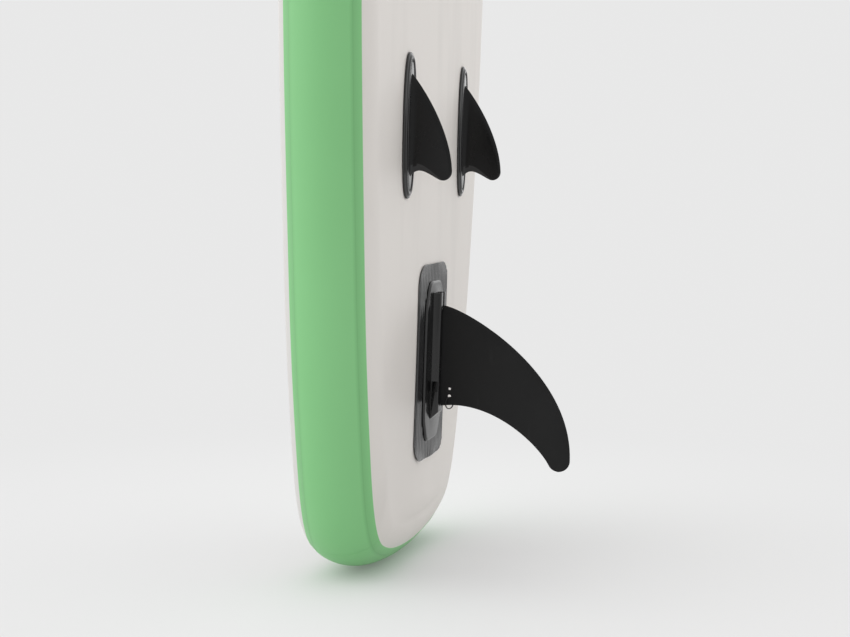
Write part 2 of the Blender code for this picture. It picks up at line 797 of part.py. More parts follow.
def leading_edge(t):
    """The centre fin's swept leading edge, then round its tip."""
    tip = (FIN_TIP_CENTRE, FIN_TIP_RADIUS, 90, 2)
    scales = (FIN_TIP_AFT, FIN_TIP_AFT, FIN_DEPTH)
    return swept_edge(t, FIN_TIP_SHARE, (0.0, 0.0), FIN_LEADING_PULL, scales, tip)


def trailing_edge(t):
    """The centre fin's hollow trailing edge, then round its tip from the other side."""
    tip = (FIN_TIP_CENTRE, FIN_TIP_RADIUS, -62, -8)
    scales = (FIN_CHORD, FIN_TIP_AFT, FIN_DEPTH)
    return swept_edge(t, FIN_TIP_SHARE, (FIN_CHORD, 0.0), FIN_TRAILING_PULL, scales, tip)


def make_centre_fin(frame):
    """Blade, neck and T foot in one moulding, with two holes near the root's rear end."""
    params = [0.0, 0.04, 0.1, 0.18, 0.27, 0.36, 0.46, 0.56, 0.66, 0.76, 0.86, 0.9, 0.94, 0.97, 1.0]
    base = CHANNEL_HEIGHT + GAP

    def thickness(t):
        return FIN_ROOT_THICKNESS + (FIN_TIP_THICKNESS - FIN_ROOT_THICKNESS) * t**0.8

    blade = blade_mesh("blade", leading_edge, trailing_edge, thickness, params, ROOT_FRONT, base)
    front, rear = ROOT_FRONT - 2 * FOOT_INSET, ROOT_FRONT - FIN_CHORD + FOOT_INSET
    low = FIN_BOX_FLOOR + SLOT_CLEARANCE
    neck = box_mesh("neck", (-NECK_WIDTH / 2, rear, low), (NECK_WIDTH / 2, front, base + 0.0008))
    foot = box_mesh("foot", (-FOOT_WIDTH / 2, rear, low), (FOOT_WIDTH / 2, front, low + FOOT_HEIGHT))
    mesh = combined("solid", blade, [neck, foot], "UNION")
    tools = []
    for aft in HOLES_AFT:
        hole = disc("hole", HOLE_RADIUS, -0.02, 0.02, steps=16)
        place = Matrix.Translation((0.0, ROOT_FRONT - aft, base + HOLE_DEPTH))
        hole.transform(place @ Matrix.Rotation(math.radians(90), 4, "Y"))
        tools.append(hole)
    y = ROOT_FRONT - LATCH_AFT
    reach = LATCH_LENGTH / 2 + SLOT_CLEARANCE
    notch = box_mesh("notch", (-FOOT_WIDTH, y - reach, 0.0), (LATCH_TIP + GAP, y + reach, base - 0.001))
    mesh = combined("center_fin", mesh, [*tools, notch], "DIFFERENCE")
    return new_object("center_fin", mesh, BLACK_PLASTIC, frame)


def make_fin_ring(frame):
    """The split ring hanging in the fin's lower hole, with its origin on the hole's axis."""
    drop = HOLE_RADIUS - RING_WIRE - GAP
    turns = 24
    path = []
    for i in range(turns):
        angle = 2 * math.pi * i / turns
        path.append((RING_RADIUS * math.sin(angle), 0.0, -drop - RING_RADIUS + RING_RADIUS * math.cos(angle)))
    mesh = tube_along("fin_ring", path, RING_WIRE, sides=6, closed=True)
    mesh.transform(Matrix.Rotation(RING_TWIST, 4, "Z"))
    hole = Vector((0.0, ROOT_FRONT - HOLES_AFT[1], CHANNEL_HEIGHT + GAP + HOLE_DEPTH))
    return new_object("fin_ring", mesh, BLACK_STEEL, None, frame.matrix_world @ hole)


def side_leading(t):
    """A side fin's long, low leading edge, then round its tip."""
    tip = (SIDE_TIP_CENTRE, SIDE_TIP_RADIUS, 100, 8)
    scales = (SIDE_FIN_CHORD, SIDE_FIN_CHORD, SIDE_FIN_DEPTH)
    return swept_edge(t, SIDE_TIP_SHARE, (0.0, 0.0), SIDE_LEADING_PULL, scales, tip)


def side_trailing(t):
    """A side fin's short trailing edge, with a hollow above its tip."""
    tip = (SIDE_TIP_CENTRE, SIDE_TIP_RADIUS, -25, 2)
    scales = (SIDE_FIN_CHORD, SIDE_FIN_CHORD, SIDE_FIN_DEPTH)
    return swept_edge(t, SIDE_TIP_SHARE, (SIDE_FIN_CHORD, 0.0), SIDE_TRAILING_PULL, scales, tip)


def make_side_fin(side, label):
    """A long oval base with a rim, and the fin whose oval foot sits in the base's recess."""
    half_w, half_l = BASE_WIDTH / 2, BASE_LENGTH / 2
    matrix = seat_matrix(side * SIDE_FIN_X, SIDE_FIN_Z, False, GAP + SIDE_BASE_LIFT, half_w)
    frame = seat(f"side_fin_seat_{label}", matrix)
    wall = BASE_WALL
    loops = [oval(half_w - wall * d, half_l - wall * d, h * BASE_RIM) for d, h in BASE_PROFILE]
    loops.append(oval(half_w - wall, half_l - wall, BASE_FLOOR))
    base = lofted(f"side_fin_base_{label}", loops)
    new_object(f"side_fin_base_{label}", base, BLACK_RUBBER, frame)
    foot_w = half_w - wall - SIDE_FOOT_CLEARANCE
    foot_l = half_l - wall - SIDE_FOOT_CLEARANCE
    low = BASE_FLOOR + GAP
    top = low + SIDE_FOOT_THICKNESS
    edge = 0.001
    outlines = [(0.0, low), (0.0, top - edge / 2), (edge, top)]
    foot = lofted("foot", [oval(foot_w - inset, foot_l - inset, h) for inset, h in outlines])

    def thickness(t):
        flare = SIDE_FIN_FLARE * max(1 - t / 0.10, 0.0) ** 2
        return SIDE_FIN_THICKNESS * (1 - 0.45 * t) + flare

    params = [0.0, 0.05, 0.1, 0.22, 0.38, 0.54, 0.7, 0.84, 0.9, 0.95, 1.0]
    blade = blade_mesh("blade", side_leading, side_trailing, thickness, params, SIDE_FIN_FRONT, top - 0.0008)
    fin = combined(f"side_fin_{label}", foot, [blade], "UNION")
    new_object(f"side_fin_{label}", fin, BLACK_RUBBER, frame)


# ---------------------------------------------------------------- deck pad and carry handle


def make_deck_pad():
    """The foam pad: it follows the outline, stays inside the flat, and leaves a window for the handle."""
    rows = 15
    low = GAP + PAD_LIFT
    grid = []
    for i in range(rows + 1):
        z = PAD_REAR + (PAD_FRONT - PAD_REAR) * i / rows
        width = min(PAD_HALF_WIDTH, half_width(z) - PAD_MARGIN)
        if i in (0, rows):
            width -= PAD_END_TAPER
        row = []
        for k in range(9):
            x = width * (-1 + k / 4)
            y = flat_y(x, z, True)
            row.append((Vector((x, y + low + PAD_THICKNESS, z)), Vector((x, y + low, z))))
        grid.append(row)
    shell = Shell()
    shell.grid(grid)
    half_w, half_l = PAD_WINDOW[0] / 2, PAD_WINDOW[1] / 2
    base = flat_y(0.0, HANDLE_Z, True)
    hole = oval(half_w, half_l, 0.0, steps=24, power=5.0)
    window = lofted("window", [[(x, base + y, HANDLE_Z + z) for x, z, _ in hole] for y in (-0.02, 0.03)])
    mesh = combined("deck_pad", shell.mesh("pad"), [window], "DIFFERENCE")
    return new_object("deck_pad", mesh, PAD_FOAM)


def strap_profile():
    """The handle webbing's centre line: (distance along the board, height above the deck)."""
    low = GAP + SHEET + GAP + WEBBING / 2
    flat = HANDLE_LENGTH / 2
    foot = flat - HANDLE_FLAT
    grip = GRIP_LENGTH / 2 + 0.006
    points = [(-flat, low), (-foot, low)]
    for i in range(1, 7):
        t = i / 7
        ease = t * t * (3 - 2 * t)
        points.append((-foot + (foot - grip) * t, low + (HANDLE_RISE - low) * ease))
    points.append((-grip, HANDLE_RISE))
    return points + [(-y, h) for y, h in reversed(points)]


def ribbon(name, profile, width, thickness):
    """A flat strap that follows a profile in the local YZ plane."""
    top, under = [], []
    for i, (y, h) in enumerate(profile):
        before, after = profile[max(i - 1, 0)], profile[min(i + 1, len(profile) - 1)]
        along = Vector((after[0] - before[0], after[1] - before[1])).normalized()
        shift = Vector((-along.y, along.x)) * thickness / 2
        top.append((y + shift.x, h + shift.y))
        under.append((y - shift.x, h - shift.y))
    half = width / 2
    loops = []
    for (y0, h0), (y1, h1) in zip(top, under):
        loops.append([(-half, y0, h0), (half, y0, h0), (half, y1, h1), (-half, y1, h1)])
    return lofted(name, loops)


def make_handle():
    """Webbing strap on two patches, with a soft round grip in the middle."""
    centre = HANDLE_LENGTH / 2 - HANDLE_PATCH[1] / 2 + HANDLE_PATCH_PAST
    for name, way in (("handle_patch_rear", -1), ("handle_patch_front", 1)):
        place = (0.0, HANDLE_Z + way * centre)
        sheet = draped_sheet(name, True, place, HANDLE_PATCH, HANDLE_PATCH_CORNER, GAP, SHEET, 4, 4)
        new_object(name, sheet, GREY_PVC)
    frame = seat("handle_seat", seat_matrix(0.0, HANDLE_Z, True, 0.0001, HANDLE_LENGTH / 2))
    strap = ribbon("handle_strap", strap_profile(), WEBBING_WIDTH, WEBBING)
    new_object("handle_strap", strap, BLACK_WEBBING, frame)
    half = GRIP_LENGTH / 2
    loops = []
    for y, scale in ((-half, 0.80), (-half + 0.004, 1.0), (half - 0.004, 1.0), (half, 0.80)):
        loop = []
        for i in range(20):
            angle = 2 * math.pi * i / 20
            x = (WEBBING_WIDTH / 2 + GRIP_WALL) * math.cos(angle) * scale
            loop.append((x, y, HANDLE_RISE + GRIP_RADIUS * math.sin(angle) * scale))
        loops.append(loop)
    bore = box_mesh(
        "bore",
        (-WEBBING_WIDTH / 2 - GAP, -half - 0.01, HANDLE_RISE - WEBBING / 2 - GAP),
        (WEBBING_WIDTH / 2 + GAP, half + 0.01, HANDLE_RISE + WEBBING / 2 + GAP),
    )
    grip = combined("handle_grip", lofted("grip", loops), [bore], "DIFFERENCE")
    new_object("handle_grip", grip, BLACK_RUBBER, frame)


# ---------------------------------------------------------------- D-rings

BAR_HEIGHT = GAP + SHEET + GAP + TAB_WEBBING + PIN_CLEARANCE + D_WIRE


def d_ring_mesh():
    """A D: a straight bar along X through the origin, and a round bow that hangs along -Z."""
    half = D_WIDTH / 2
    corner = D_CORNER
    path = [((half - corner) * way, 0.0, 0.0) for way in (-1, 0, 1)]
    for i in range(1, 4):
        angle = math.radians(90 - 30 * i)
        path.append((half - corner + corner * math.cos(angle), 0.0, -corner + corner * math.sin(angle)))
    straight = D_REACH - half
    for i in range(13):
        angle = math.pi * i / 12
        path.append((half * math.cos(angle), 0.0, -straight - half * math.sin(angle)))
    for i in range(3):
        angle = math.radians(180 - 30 * i)
        path.append((-half + corner + corner * math.cos(angle), 0.0, -corner + corner * math.sin(angle)))
    return tube_along("d_ring", path, D_WIRE, sides=6, closed=True)


def tab_mesh():
    """A webbing loop round the ring's bar, with its tail lying flat on the patch."""
    outer = D_WIRE + PIN_CLEARANCE + TAB_WEBBING
    inner = D_WIRE + PIN_CLEARANCE
    half = TAB_WIDTH / 2
    low = BAR_HEIGHT - outer
    tail = box_mesh("tail", (-half, 0.0, low), (half, TAB_LENGTH, low + 2 * TAB_WEBBING))
    flat = Matrix.Translation((0.0, 0.0, BAR_HEIGHT)) @ Matrix.Rotation(math.radians(90), 4, "Y")
    round_part = disc("round", outer, -half, half, steps=20)
    hole = disc("hole", inner, -half - 0.01, half + 0.01, steps=20)
    round_part.transform(flat)
    hole.transform(flat)
    body = combined("tab_body", tail, [round_part], "UNION")
    return combined("ring_tab", body, [hole], "DIFFERENCE")


def make_d_rings():
    """Each ring hangs from its tab on a round patch, and rests on the hull where that leans out."""
    ring_mesh, tab = d_ring_mesh(), tab_mesh()
    patch = disc("ring_patch", RING_PATCH_RADIUS, 0.0, SHEET, steps=28)
    for label, (x, z) in RING_SPOTS.items():
        rise = hollow_rise(x, z, True, RING_PATCH_RADIUS)
        matrix = seat_matrix(x, z, True, rise * RING_LIFT_FACTOR + RING_LIFT, RING_PATCH_RADIUS)
        frame = seat(f"ring_seat_{label}", matrix)
        new_object(f"ring_patch_{label}", patch, GREY_PVC, frame, (0.0, RING_PATCH_SHIFT, GAP))
        new_object(f"ring_tab_{label}", tab, BLACK_WEBBING, frame)
        bar = matrix @ Vector((0.0, 0.0, BAR_HEIGHT))
        lean = math.atan2(matrix.col[1].y, matrix.col[1].z)
        ring = new_object(f"d_ring_{label}", ring_mesh, STEEL, None, bar)
        ring.rotation_euler = Euler((-min(lean, 0.0), 0.0, 0.0))


# ---------------------------------------------------------------- inflation valve


def valve_seat():
    """The valve's frame: local Z points out of the deck, and height 0 is the deck skin's surface."""
    return seat_matrix(0.0, VALVE_Z, True, reach=FLANGE_RADIUS)


def hole_cutter(radius):
    """A cutter for the valve's hole through a skin."""
    tool = disc("cutter", radius, -0.01, 0.02)
    tool.transform(valve_seat())
    return tool


FLANGE_LOW = GAP + GASKET + GAP
FLANGE_TOP = FLANGE_LOW + FLANGE_THICKNESS
NUT_TOP = -SKIN - NUT_GAP
SEAL_TOP = TUBE_END - GAP
POPPET_TOP = SEAL_TOP - SEAL_THICKNESS - GAP
POPPET_LOW = POPPET_TOP - POPPET_THICKNESS
PLUG_LOW = FLANGE_TOP - CAP_PLUG_LENGTH
STEM_TOP = PLUG_LOW - HEAD_BELOW_CAP
CAP_LOW = FLANGE_TOP + GAP + CAP_SEAL + GAP


def washer(name, inner, outer, high, thickness):
    """A flat ring with a square section."""
    low = high - thickness
    return turned(name, [(inner, high), (outer, high), (outer, low), (inner, low)])


def make_valve():
    """Gasket, body and nut clamp the deck; guide, spring, poppet and seal close it; a cap covers it."""
    frame = seat("valve_seat", valve_seat())
    hole = TUBE_RADIUS + 2 * GAP
    gasket = washer("valve_gasket", hole, FLANGE_RADIUS - 0.001, GAP + GASKET, GASKET)
    new_object("valve_gasket", gasket, BLACK_RUBBER, frame)
    lip = TUBE_END + SEAT_LIP
    body = [
        (BORE_RADIUS, FLANGE_TOP), (FLANGE_RADIUS - 0.002, FLANGE_TOP), (FLANGE_RADIUS, FLANGE_TOP - 0.0015),
        (FLANGE_RADIUS, FLANGE_LOW), (TUBE_RADIUS, FLANGE_LOW), (TUBE_RADIUS, TUBE_END),
        (SEAT_RADIUS, TUBE_END), (SEAT_RADIUS, lip), (BORE_RADIUS, lip),
    ]
    new_object("valve_body", turned("valve_body", body), GREY_PLASTIC, frame)
    nut = washer("valve_nut", TUBE_RADIUS + GAP, NUT_RADIUS, NUT_TOP, NUT_THICKNESS)
    new_object("valve_nut", nut, GREY_PLASTIC, frame)
    new_object("valve_guide", guide_mesh(), GREY_PLASTIC, frame)
    seal = washer("valve_seal", STEM_RADIUS + GAP, POPPET_RADIUS, SEAL_TOP, SEAL_THICKNESS)
    new_object("valve_seal", seal, BLACK_RUBBER, frame)
    rim, neck = POPPET_RADIUS - 0.001, STEM_TOP - HEAD_THICKNESS
    levels = [
        (rim, POPPET_LOW), (rim, POPPET_TOP), (STEM_RADIUS, POPPET_TOP), (STEM_RADIUS, neck),
        (HEAD_RADIUS, neck), (HEAD_RADIUS, STEM_TOP - 0.0008), (HEAD_RADIUS - 0.0012, STEM_TOP),
    ]
    poppet = lofted("valve_poppet", [circle(r, h, 20) for r, h in levels])
    new_object("valve_poppet", poppet, GREY_PLASTIC, frame)
    new_object("valve_spring", spring_mesh(neck), STEEL, frame)
    make_valve_cap(frame)


def guide_mesh():
    """The spider in the bore: a hub the stem slides in, three arms and a rim."""
    top, low = -GUIDE_DEPTH, -GUIDE_DEPTH - GUIDE_THICKNESS
    outer = BORE_RADIUS - GAP
    hub = washer("hub", STEM_RADIUS + GAP, GUIDE_HUB, top, GUIDE_THICKNESS)
    pieces = [washer("rim", outer - GUIDE_RIM, outer, top, GUIDE_THICKNESS)]
    near, far = GUIDE_HUB - 0.001, outer - GUIDE_RIM / 2
    for i in range(3):
        arm = box_mesh("arm", (near, -GUIDE_ARM / 2, low + 0.0002), (far, GUIDE_ARM / 2, top - 0.0002))
        arm.transform(Matrix.Rotation(2 * math.pi * i / 3, 4, "Z"))
        pieces.append(arm)
    return combined("valve_guide", hub, pieces, "UNION")


def spring_mesh(neck):
    """The coil round the stem, between the guide and the stem's head."""
    low, high = -GUIDE_DEPTH + SPRING_WIRE + GAP, neck - SPRING_WIRE - GAP
    coil = HEAD_RADIUS - 2 * SPRING_WIRE
    per_turn = 10
    path = []
    for i in range(SPRING_TURNS * per_turn + 1):
        angle = 2 * math.pi * i / per_turn
        height = low + (high - low) * i / (SPRING_TURNS * per_turn)
        path.append((coil * math.cos(angle), coil * math.sin(angle), height))
    return tube_along("valve_spring", path, SPRING_WIRE, sides=4)


def make_valve_cap(frame):
    """The cap with its two finger wings, the seal under it and the tether that keeps it."""
    seal_top = FLANGE_TOP + GAP + CAP_SEAL
    seal = washer("valve_cap_seal", BORE_RADIUS + 0.0005, CAP_RADIUS - 0.003, seal_top, CAP_SEAL)
    new_object("valve_cap_seal", seal, BLACK_RUBBER, frame)
    plug = BORE_RADIUS - 2 * GAP
    top = CAP_LOW + CAP_THICKNESS
    edge = 0.001
    levels = [
        (plug - edge, PLUG_LOW), (plug, PLUG_LOW + edge), (plug, CAP_LOW),
        (CAP_RADIUS, CAP_LOW), (CAP_RADIUS, top - edge), (CAP_RADIUS - edge, top),
    ]
    cap = lofted("cap", [circle(r, h) for r, h in levels])
    wings = []
    for way in (-1, 1):
        low = (way * WING_SPREAD - WING_THICKNESS / 2, -WING_LENGTH / 2, top - 0.001)
        high = (way * WING_SPREAD + WING_THICKNESS / 2, WING_LENGTH / 2, top + WING_HEIGHT)
        wings.append(box_mesh("wing", low, high))
    new_object("valve_cap", combined("valve_cap", cap, wings, "UNION"), GREY_PLASTIC, frame)
    end = FLANGE_RADIUS + TETHER_REACH
    level = CAP_LOW + 0.004
    profile = [
        (CAP_RADIUS + 2 * GAP, CAP_LOW + 0.0014), (CAP_RADIUS + 0.006, level),
        (FLANGE_RADIUS + 0.008, level), (end, 0.0022), (end + 0.004, 0.0016),
    ]
    strap = ribbon("valve_tether", profile, TETHER_WIDTH, TETHER_THICKNESS)
    new_object("valve_tether", strap, BLACK_RUBBER, frame)


# ---------------------------------------------------------------- build

make_core()
make_skin("bottom_skin", False, WHITE_PVC)
make_skin("deck_skin", True, DECK_PVC, [hole_cutter(TUBE_RADIUS + 2 * GAP)])
make_rail_bands()
make_fin_patch()
fin_frame = seat("fin_box_seat", fin_seat())
make_fin_box(fin_frame)
make_fin_latch(fin_frame)
make_centre_fin(fin_frame)
make_fin_ring(fin_frame)
make_side_fin(-1, "left")
make_side_fin(1, "right")
make_deck_pad()
make_handle()
make_d_rings()
make_valve()
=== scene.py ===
import math

import bmesh
import bpy
import numpy as np
from mathutils import Matrix, Vector


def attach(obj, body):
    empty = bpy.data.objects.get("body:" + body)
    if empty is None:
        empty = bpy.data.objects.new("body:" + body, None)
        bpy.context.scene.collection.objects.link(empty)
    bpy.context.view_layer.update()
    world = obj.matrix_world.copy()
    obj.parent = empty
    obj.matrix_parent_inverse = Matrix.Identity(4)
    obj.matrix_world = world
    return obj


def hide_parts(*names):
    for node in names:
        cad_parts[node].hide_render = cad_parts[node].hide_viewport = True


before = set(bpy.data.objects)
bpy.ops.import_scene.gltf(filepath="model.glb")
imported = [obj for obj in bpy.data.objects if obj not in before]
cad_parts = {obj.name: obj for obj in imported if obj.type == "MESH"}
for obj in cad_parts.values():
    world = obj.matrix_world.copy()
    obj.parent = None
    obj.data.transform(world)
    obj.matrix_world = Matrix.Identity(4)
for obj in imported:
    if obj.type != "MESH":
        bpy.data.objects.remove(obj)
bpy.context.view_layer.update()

# %% [markdown]
# ## Small helpers
# A mesh is made from grids of points, because nearly every piece here is a sheet, a loft or a tube. A
# finished piece sits at the origin with its place in its mesh, and rides on a body.
# %% Helpers for meshes and objects
SMOOTH_ANGLE, MOULD_ANGLE, SOFT_ANGLE = math.radians(32), math.radians(40), math.radians(50)
WELD = 1e-6


def smooth(mesh, angle=SMOOTH_ANGLE):
    mesh.shade_smooth()
    mesh.set_sharp_from_angle(angle=angle)
    return mesh


def mesh_of(name, points, faces, angle=SMOOTH_ANGLE):
    """A mesh from points and faces, with doubles merged and faces turned outwards."""
    mesh = bpy.data.meshes.new(name)
    mesh.from_pydata([tuple(map(float, p)) for p in points], [], [tuple(map(int, f)) for f in faces])
    bm = bmesh.new()
    bm.from_mesh(mesh)
    bmesh.ops.remove_doubles(bm, verts=bm.verts, dist=WELD)
    bmesh.ops.dissolve_degenerate(bm, edges=bm.edges, dist=WELD)
    bmesh.ops.recalc_face_normals(bm, faces=bm.faces)
    bm.to_mesh(mesh)
    bm.free()
    return smooth(mesh, angle)


def object_of(name, mesh, finish=None):
    piece = bpy.data.objects.new(name, mesh)
    bpy.context.scene.collection.objects.link(piece)
    if finish is not None:
        mesh.materials.clear()
        mesh.materials.append(finish)
    return piece


def settled(piece):
    """Turns what the modifiers show into the piece's own plain mesh."""
    bpy.context.view_layer.update()
    shown = piece.evaluated_get(bpy.context.evaluated_depsgraph_get())
    mesh = bpy.data.meshes.new_from_object(shown)
    piece.modifiers.clear()
    piece.data = mesh
    return piece


def stands_for(piece, body, slot, *nodes):
    """The piece rides on a body and hides the CAD nodes that it stands for. Its slot is not used."""
    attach(piece, body)
    if nodes:
        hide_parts(*nodes)
    return piece


def placed(name, mesh, matrix, finish, body, slot, *nodes):
    """A piece whose mesh was made in a local frame."""
    mesh.transform(matrix)
    return stands_for(object_of(name, mesh, finish), body, slot, *nodes)


def grid_faces(rows, columns, closed_columns=False):
    """Quads between neighbouring rows and columns of points."""
    faces = []
    last = columns if closed_columns else columns - 1
    for r in range(rows - 1):
        for c in range(last):
            n = (c + 1) % columns
            a = r * columns
            faces.append((a + c, a + n, a + columns + n, a + columns + c))
    return faces


def sheet_mesh(name, outer, inner, end_rims=True):
    """A closed sheet from an outer and an inner grid of points."""
    rows, columns = outer.shape[:2]
    points = np.concatenate([outer.reshape(-1, 3), inner.reshape(-1, 3)])
    under = rows * columns
    faces = grid_faces(rows, columns)
    faces += [tuple(under + i for i in reversed(f)) for f in grid_faces(rows, columns)]
    side_a = [r * columns for r in range(rows)]
    side_b = [r * columns + columns - 1 for r in range(rows)]
    edges = [side_a, side_b]
    if end_rims:
        edges += [list(range(columns)), [(rows - 1) * columns + c for c in range(columns)]]
    for edge in edges:
        for a, b in zip(edge, edge[1:]):
            faces.append((a, b, under + b, under + a))
    return mesh_of(name, points, faces)


def hoop_faces(rows, columns):
    """Quads of a body that closes on itself both ways."""
    faces = grid_faces(rows, columns, closed_columns=True)
    last = (rows - 1) * columns
    for c in range(columns):
        n = (c + 1) % columns
        faces.append((last + c, last + n, n, c))
    return faces


def loft_mesh(name, loops, angle=SMOOTH_ANGLE):
    """A closed body through loops of equal length, with flat ends."""
    loops = np.array(loops, float)
    rows, columns = loops.shape[:2]
    faces = grid_faces(rows, columns, closed_columns=True)
    faces += [tuple(range(columns)), tuple(range((rows - 1) * columns, rows * columns))]
    return mesh_of(name, loops.reshape(-1, 3), faces, angle)


def tube_mesh(name, path, radius, sides=12, closed=False):
    """A round bar along a path."""
    path = [Vector(p) for p in path]
    count = len(path)
    ahead = [(path[(i + 1) % count] - path[i - 1]).normalized() for i in range(count)]
    if not closed:
        ahead[0], ahead[-1] = (path[1] - path[0]).normalized(), (path[-1] - path[-2]).normalized()
    side = ahead[0].orthogonal().normalized()
    loops = []
    for centre, direction in zip(path, ahead):
        side = (side - direction * side.dot(direction)).normalized()
        other = direction.cross(side)
        angles = [2 * math.pi * i / sides for i in range(sides)]
        loops.append([centre + radius * (side * math.cos(a) + other * math.sin(a)) for a in angles])
    if not closed:
        return loft_mesh(name, loops)
    points = [p for loop in loops for p in loop]
    return mesh_of(name, points, hoop_faces(count, sides))


def box_mesh(name, low, high):
    points = [(x, y, z) for x in (low[0], high[0]) for y in (low[1], high[1]) for z in (low[2], high[2])]
    faces = [(0, 1, 3, 2), (4, 6, 7, 5), (0, 4, 5, 1), (2, 3, 7, 6), (0, 2, 6, 4), (1, 5, 7, 3)]
    return mesh_of(name, points, faces)


def bevelled(piece, width, segments=2, angle=30):
    """Rounds a piece's sharp edges, as a mould does."""
    edge = piece.modifiers.new("edge", "BEVEL")
    edge.width = width
    edge.segments = segments
    edge.limit_method = "ANGLE"
    edge.angle_limit = math.radians(angle)
    edge.harden_normals = False
    settled(piece)
    smooth(piece.data)
    return piece


def carved(piece, meshes, operation="DIFFERENCE"):
    """Joins meshes to a piece, or cuts them away."""
    helpers = [object_of(f"{piece.name}_{operation.lower()}_{i}", m) for i, m in enumerate(meshes)]
    for helper in helpers:
        step = piece.modifiers.new("step", "BOOLEAN")
        step.operation, step.solver, step.object = operation, "EXACT", helper
    settled(piece)
    for helper in helpers:
        bpy.data.objects.remove(helper, do_unlink=True)
    return piece


def from_node(name, node, finish):
    """A copy of a CAD node whose loose triangles are merged back into flat faces."""
    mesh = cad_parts[node].data.copy()
    mesh.name = name
    bm = bmesh.new()
    bm.from_mesh(mesh)
    bmesh.ops.remove_doubles(bm, verts=bm.verts, dist=1e-5)
    bmesh.ops.dissolve_limit(bm, angle_limit=math.radians(0.5), verts=bm.verts, edges=bm.edges)
    bm.to_mesh(mesh)
    bm.free()
    return object_of(name, smooth(mesh), finish)


def moulded(name, node, finish, body, slot, width, segments=2):
    """A CAD node's shape with its edges rounded, standing for that node."""
    piece = bevelled(from_node(name, node, finish), width, segments)
    return stands_for(piece, body, slot, node)


print("helpers ready")

# %% [markdown]
# ## The hull's shape
# An inflatable board is a drop-stitch slab: two flat skins held 15 cm apart by threads, and a rail that
# bulges to a half round between them. Its outline is drawn from a few half widths near the tail and the
# nose, and both ends lift towards the deck. The same few rules place a point anywhere on it, so every sheet,
# patch and fitting below can be laid on the hull exactly.
# %% Sizes of the hull
LENGTH = 3.20
MID_HALF_WIDTH = 0.408
RAIL_RADIUS = 0.075
BOTTOM_CROWN = 0.0064
DECK_CROWN = 0.0030
TAIL_ROCKER, TAIL_ROCKER_LENGTH = 0.0228, 1.44
NOSE_ROCKER, NOSE_ROCKER_LENGTH, NOSE_ROCKER_POWER = 0.170, 1.20, 2.2
TAIL_TEMPLATE = (
    (0.012, 0.139), (0.038, 0.209), (0.100, 0.259), (0.225, 0.300), (0.475, 0.349), (1.060, 0.402),
)
NOSE_TEMPLATE = (
    (0.015, 0.098), (0.060, 0.178), (0.160, 0.250), (0.400, 0.330), (0.800, 0.384), (1.200, 0.403),
)
SKIN = 0.0012
SPINE_INSET = RAIL_RADIUS + 0.035
BOTTOM_SEAM, DECK_SEAM = 54.5, -45.0
TAIL_BAND_REACH = 0.230
TURN_SHARE = 0.55
HEADING_STEP = 0.004


def smooth_curve(knots):
    """A curve through (x, value) knots that never overshoots them."""
    xs, ys = np.array(knots, float).T
    slopes = np.diff(ys) / np.diff(xs)
    before, after = slopes[:-1], slopes[1:]
    same_way = before * after > 0
    inner = np.where(same_way, 2 * before * after / np.where(same_way, before + after, 1.0), 0.0)
    bends = np.concatenate([slopes[:1], inner, slopes[-1:]])

    def value(x):
        k = np.clip(np.searchsorted(xs, x) - 1, 0, len(xs) - 2)
        h = xs[k + 1] - xs[k]
        t = (x - xs[k]) / h
        rise = (1 + 2 * t) * (1 - t) ** 2 * ys[k] + t * t * (3 - 2 * t) * ys[k + 1]
        return rise + h * (t * (1 - t) ** 2 * bends[k] + t * t * (t - 1) * bends[k + 1])

    return value


def end_curve(template):
    knots = [(0.0, 0.0)] + [(math.sqrt(d), w) for d, w in template]
    return smooth_curve(knots + [(math.sqrt(LENGTH / 2), MID_HALF_WIDTH)])


tail_curve, nose_curve = end_curve(TAIL_TEMPLATE), end_curve(NOSE_TEMPLATE)


def half_width(z):
    z = np.clip(z, 0.0, LENGTH)
    return np.where(z <= LENGTH / 2, tail_curve(np.sqrt(z)), nose_curve(np.sqrt(LENGTH - z)))


def middle_y(z):
    tail = TAIL_ROCKER * (np.maximum(TAIL_ROCKER_LENGTH - z, 0.0) / TAIL_ROCKER_LENGTH) ** 2
    past = np.maximum(z - LENGTH + NOSE_ROCKER_LENGTH, 0.0) / NOSE_ROCKER_LENGTH
    return tail + NOSE_ROCKER * past**NOSE_ROCKER_POWER - TAIL_ROCKER


def flat_y(x, z, deck):
    """The crowned deck or bottom, inboard of the rails."""
    share = np.minimum(np.abs(x) / (half_width(z) - RAIL_RADIUS), 1.0)
    crown = (DECK_CROWN if deck else BOTTOM_CROWN) * (1 - share**2)
    return middle_y(z) + (RAIL_RADIUS + crown) * (1 if deck else -1)


# %% The outline, measured along its edge
turns = np.linspace(0.0, math.pi, 6001)
OUTLINE_Z = LENGTH / 2 * (1 - np.cos(turns))
OUTLINE_X = half_width(OUTLINE_Z)
OUTLINE_X[0] = OUTLINE_X[-1] = 0.0
steps = np.hypot(np.diff(OUTLINE_X), np.diff(OUTLINE_Z))
RUN = np.concatenate([[0.0], np.cumsum(steps)])
headings = np.arctan2(np.diff(OUTLINE_Z), np.diff(OUTLINE_X))
TURNED = np.concatenate([[0.0], np.cumsum(np.abs(np.diff(headings, prepend=0.0)))])
print("half outline", round(RUN[-1], 3), "m")


def outline_at(run):
    """(x, z) at a distance along the half outline, carried on over the centre line past either end."""
    run = np.asarray(run, float)
    over = (run < 0) | (run > RUN[-1])
    inside = np.where(run < 0, -run, np.where(run > RUN[-1], 2 * RUN[-1] - run, run))
    x = np.interp(inside, RUN, OUTLINE_X)
    return np.where(over, -x, x), np.interp(inside, RUN, OUTLINE_Z)


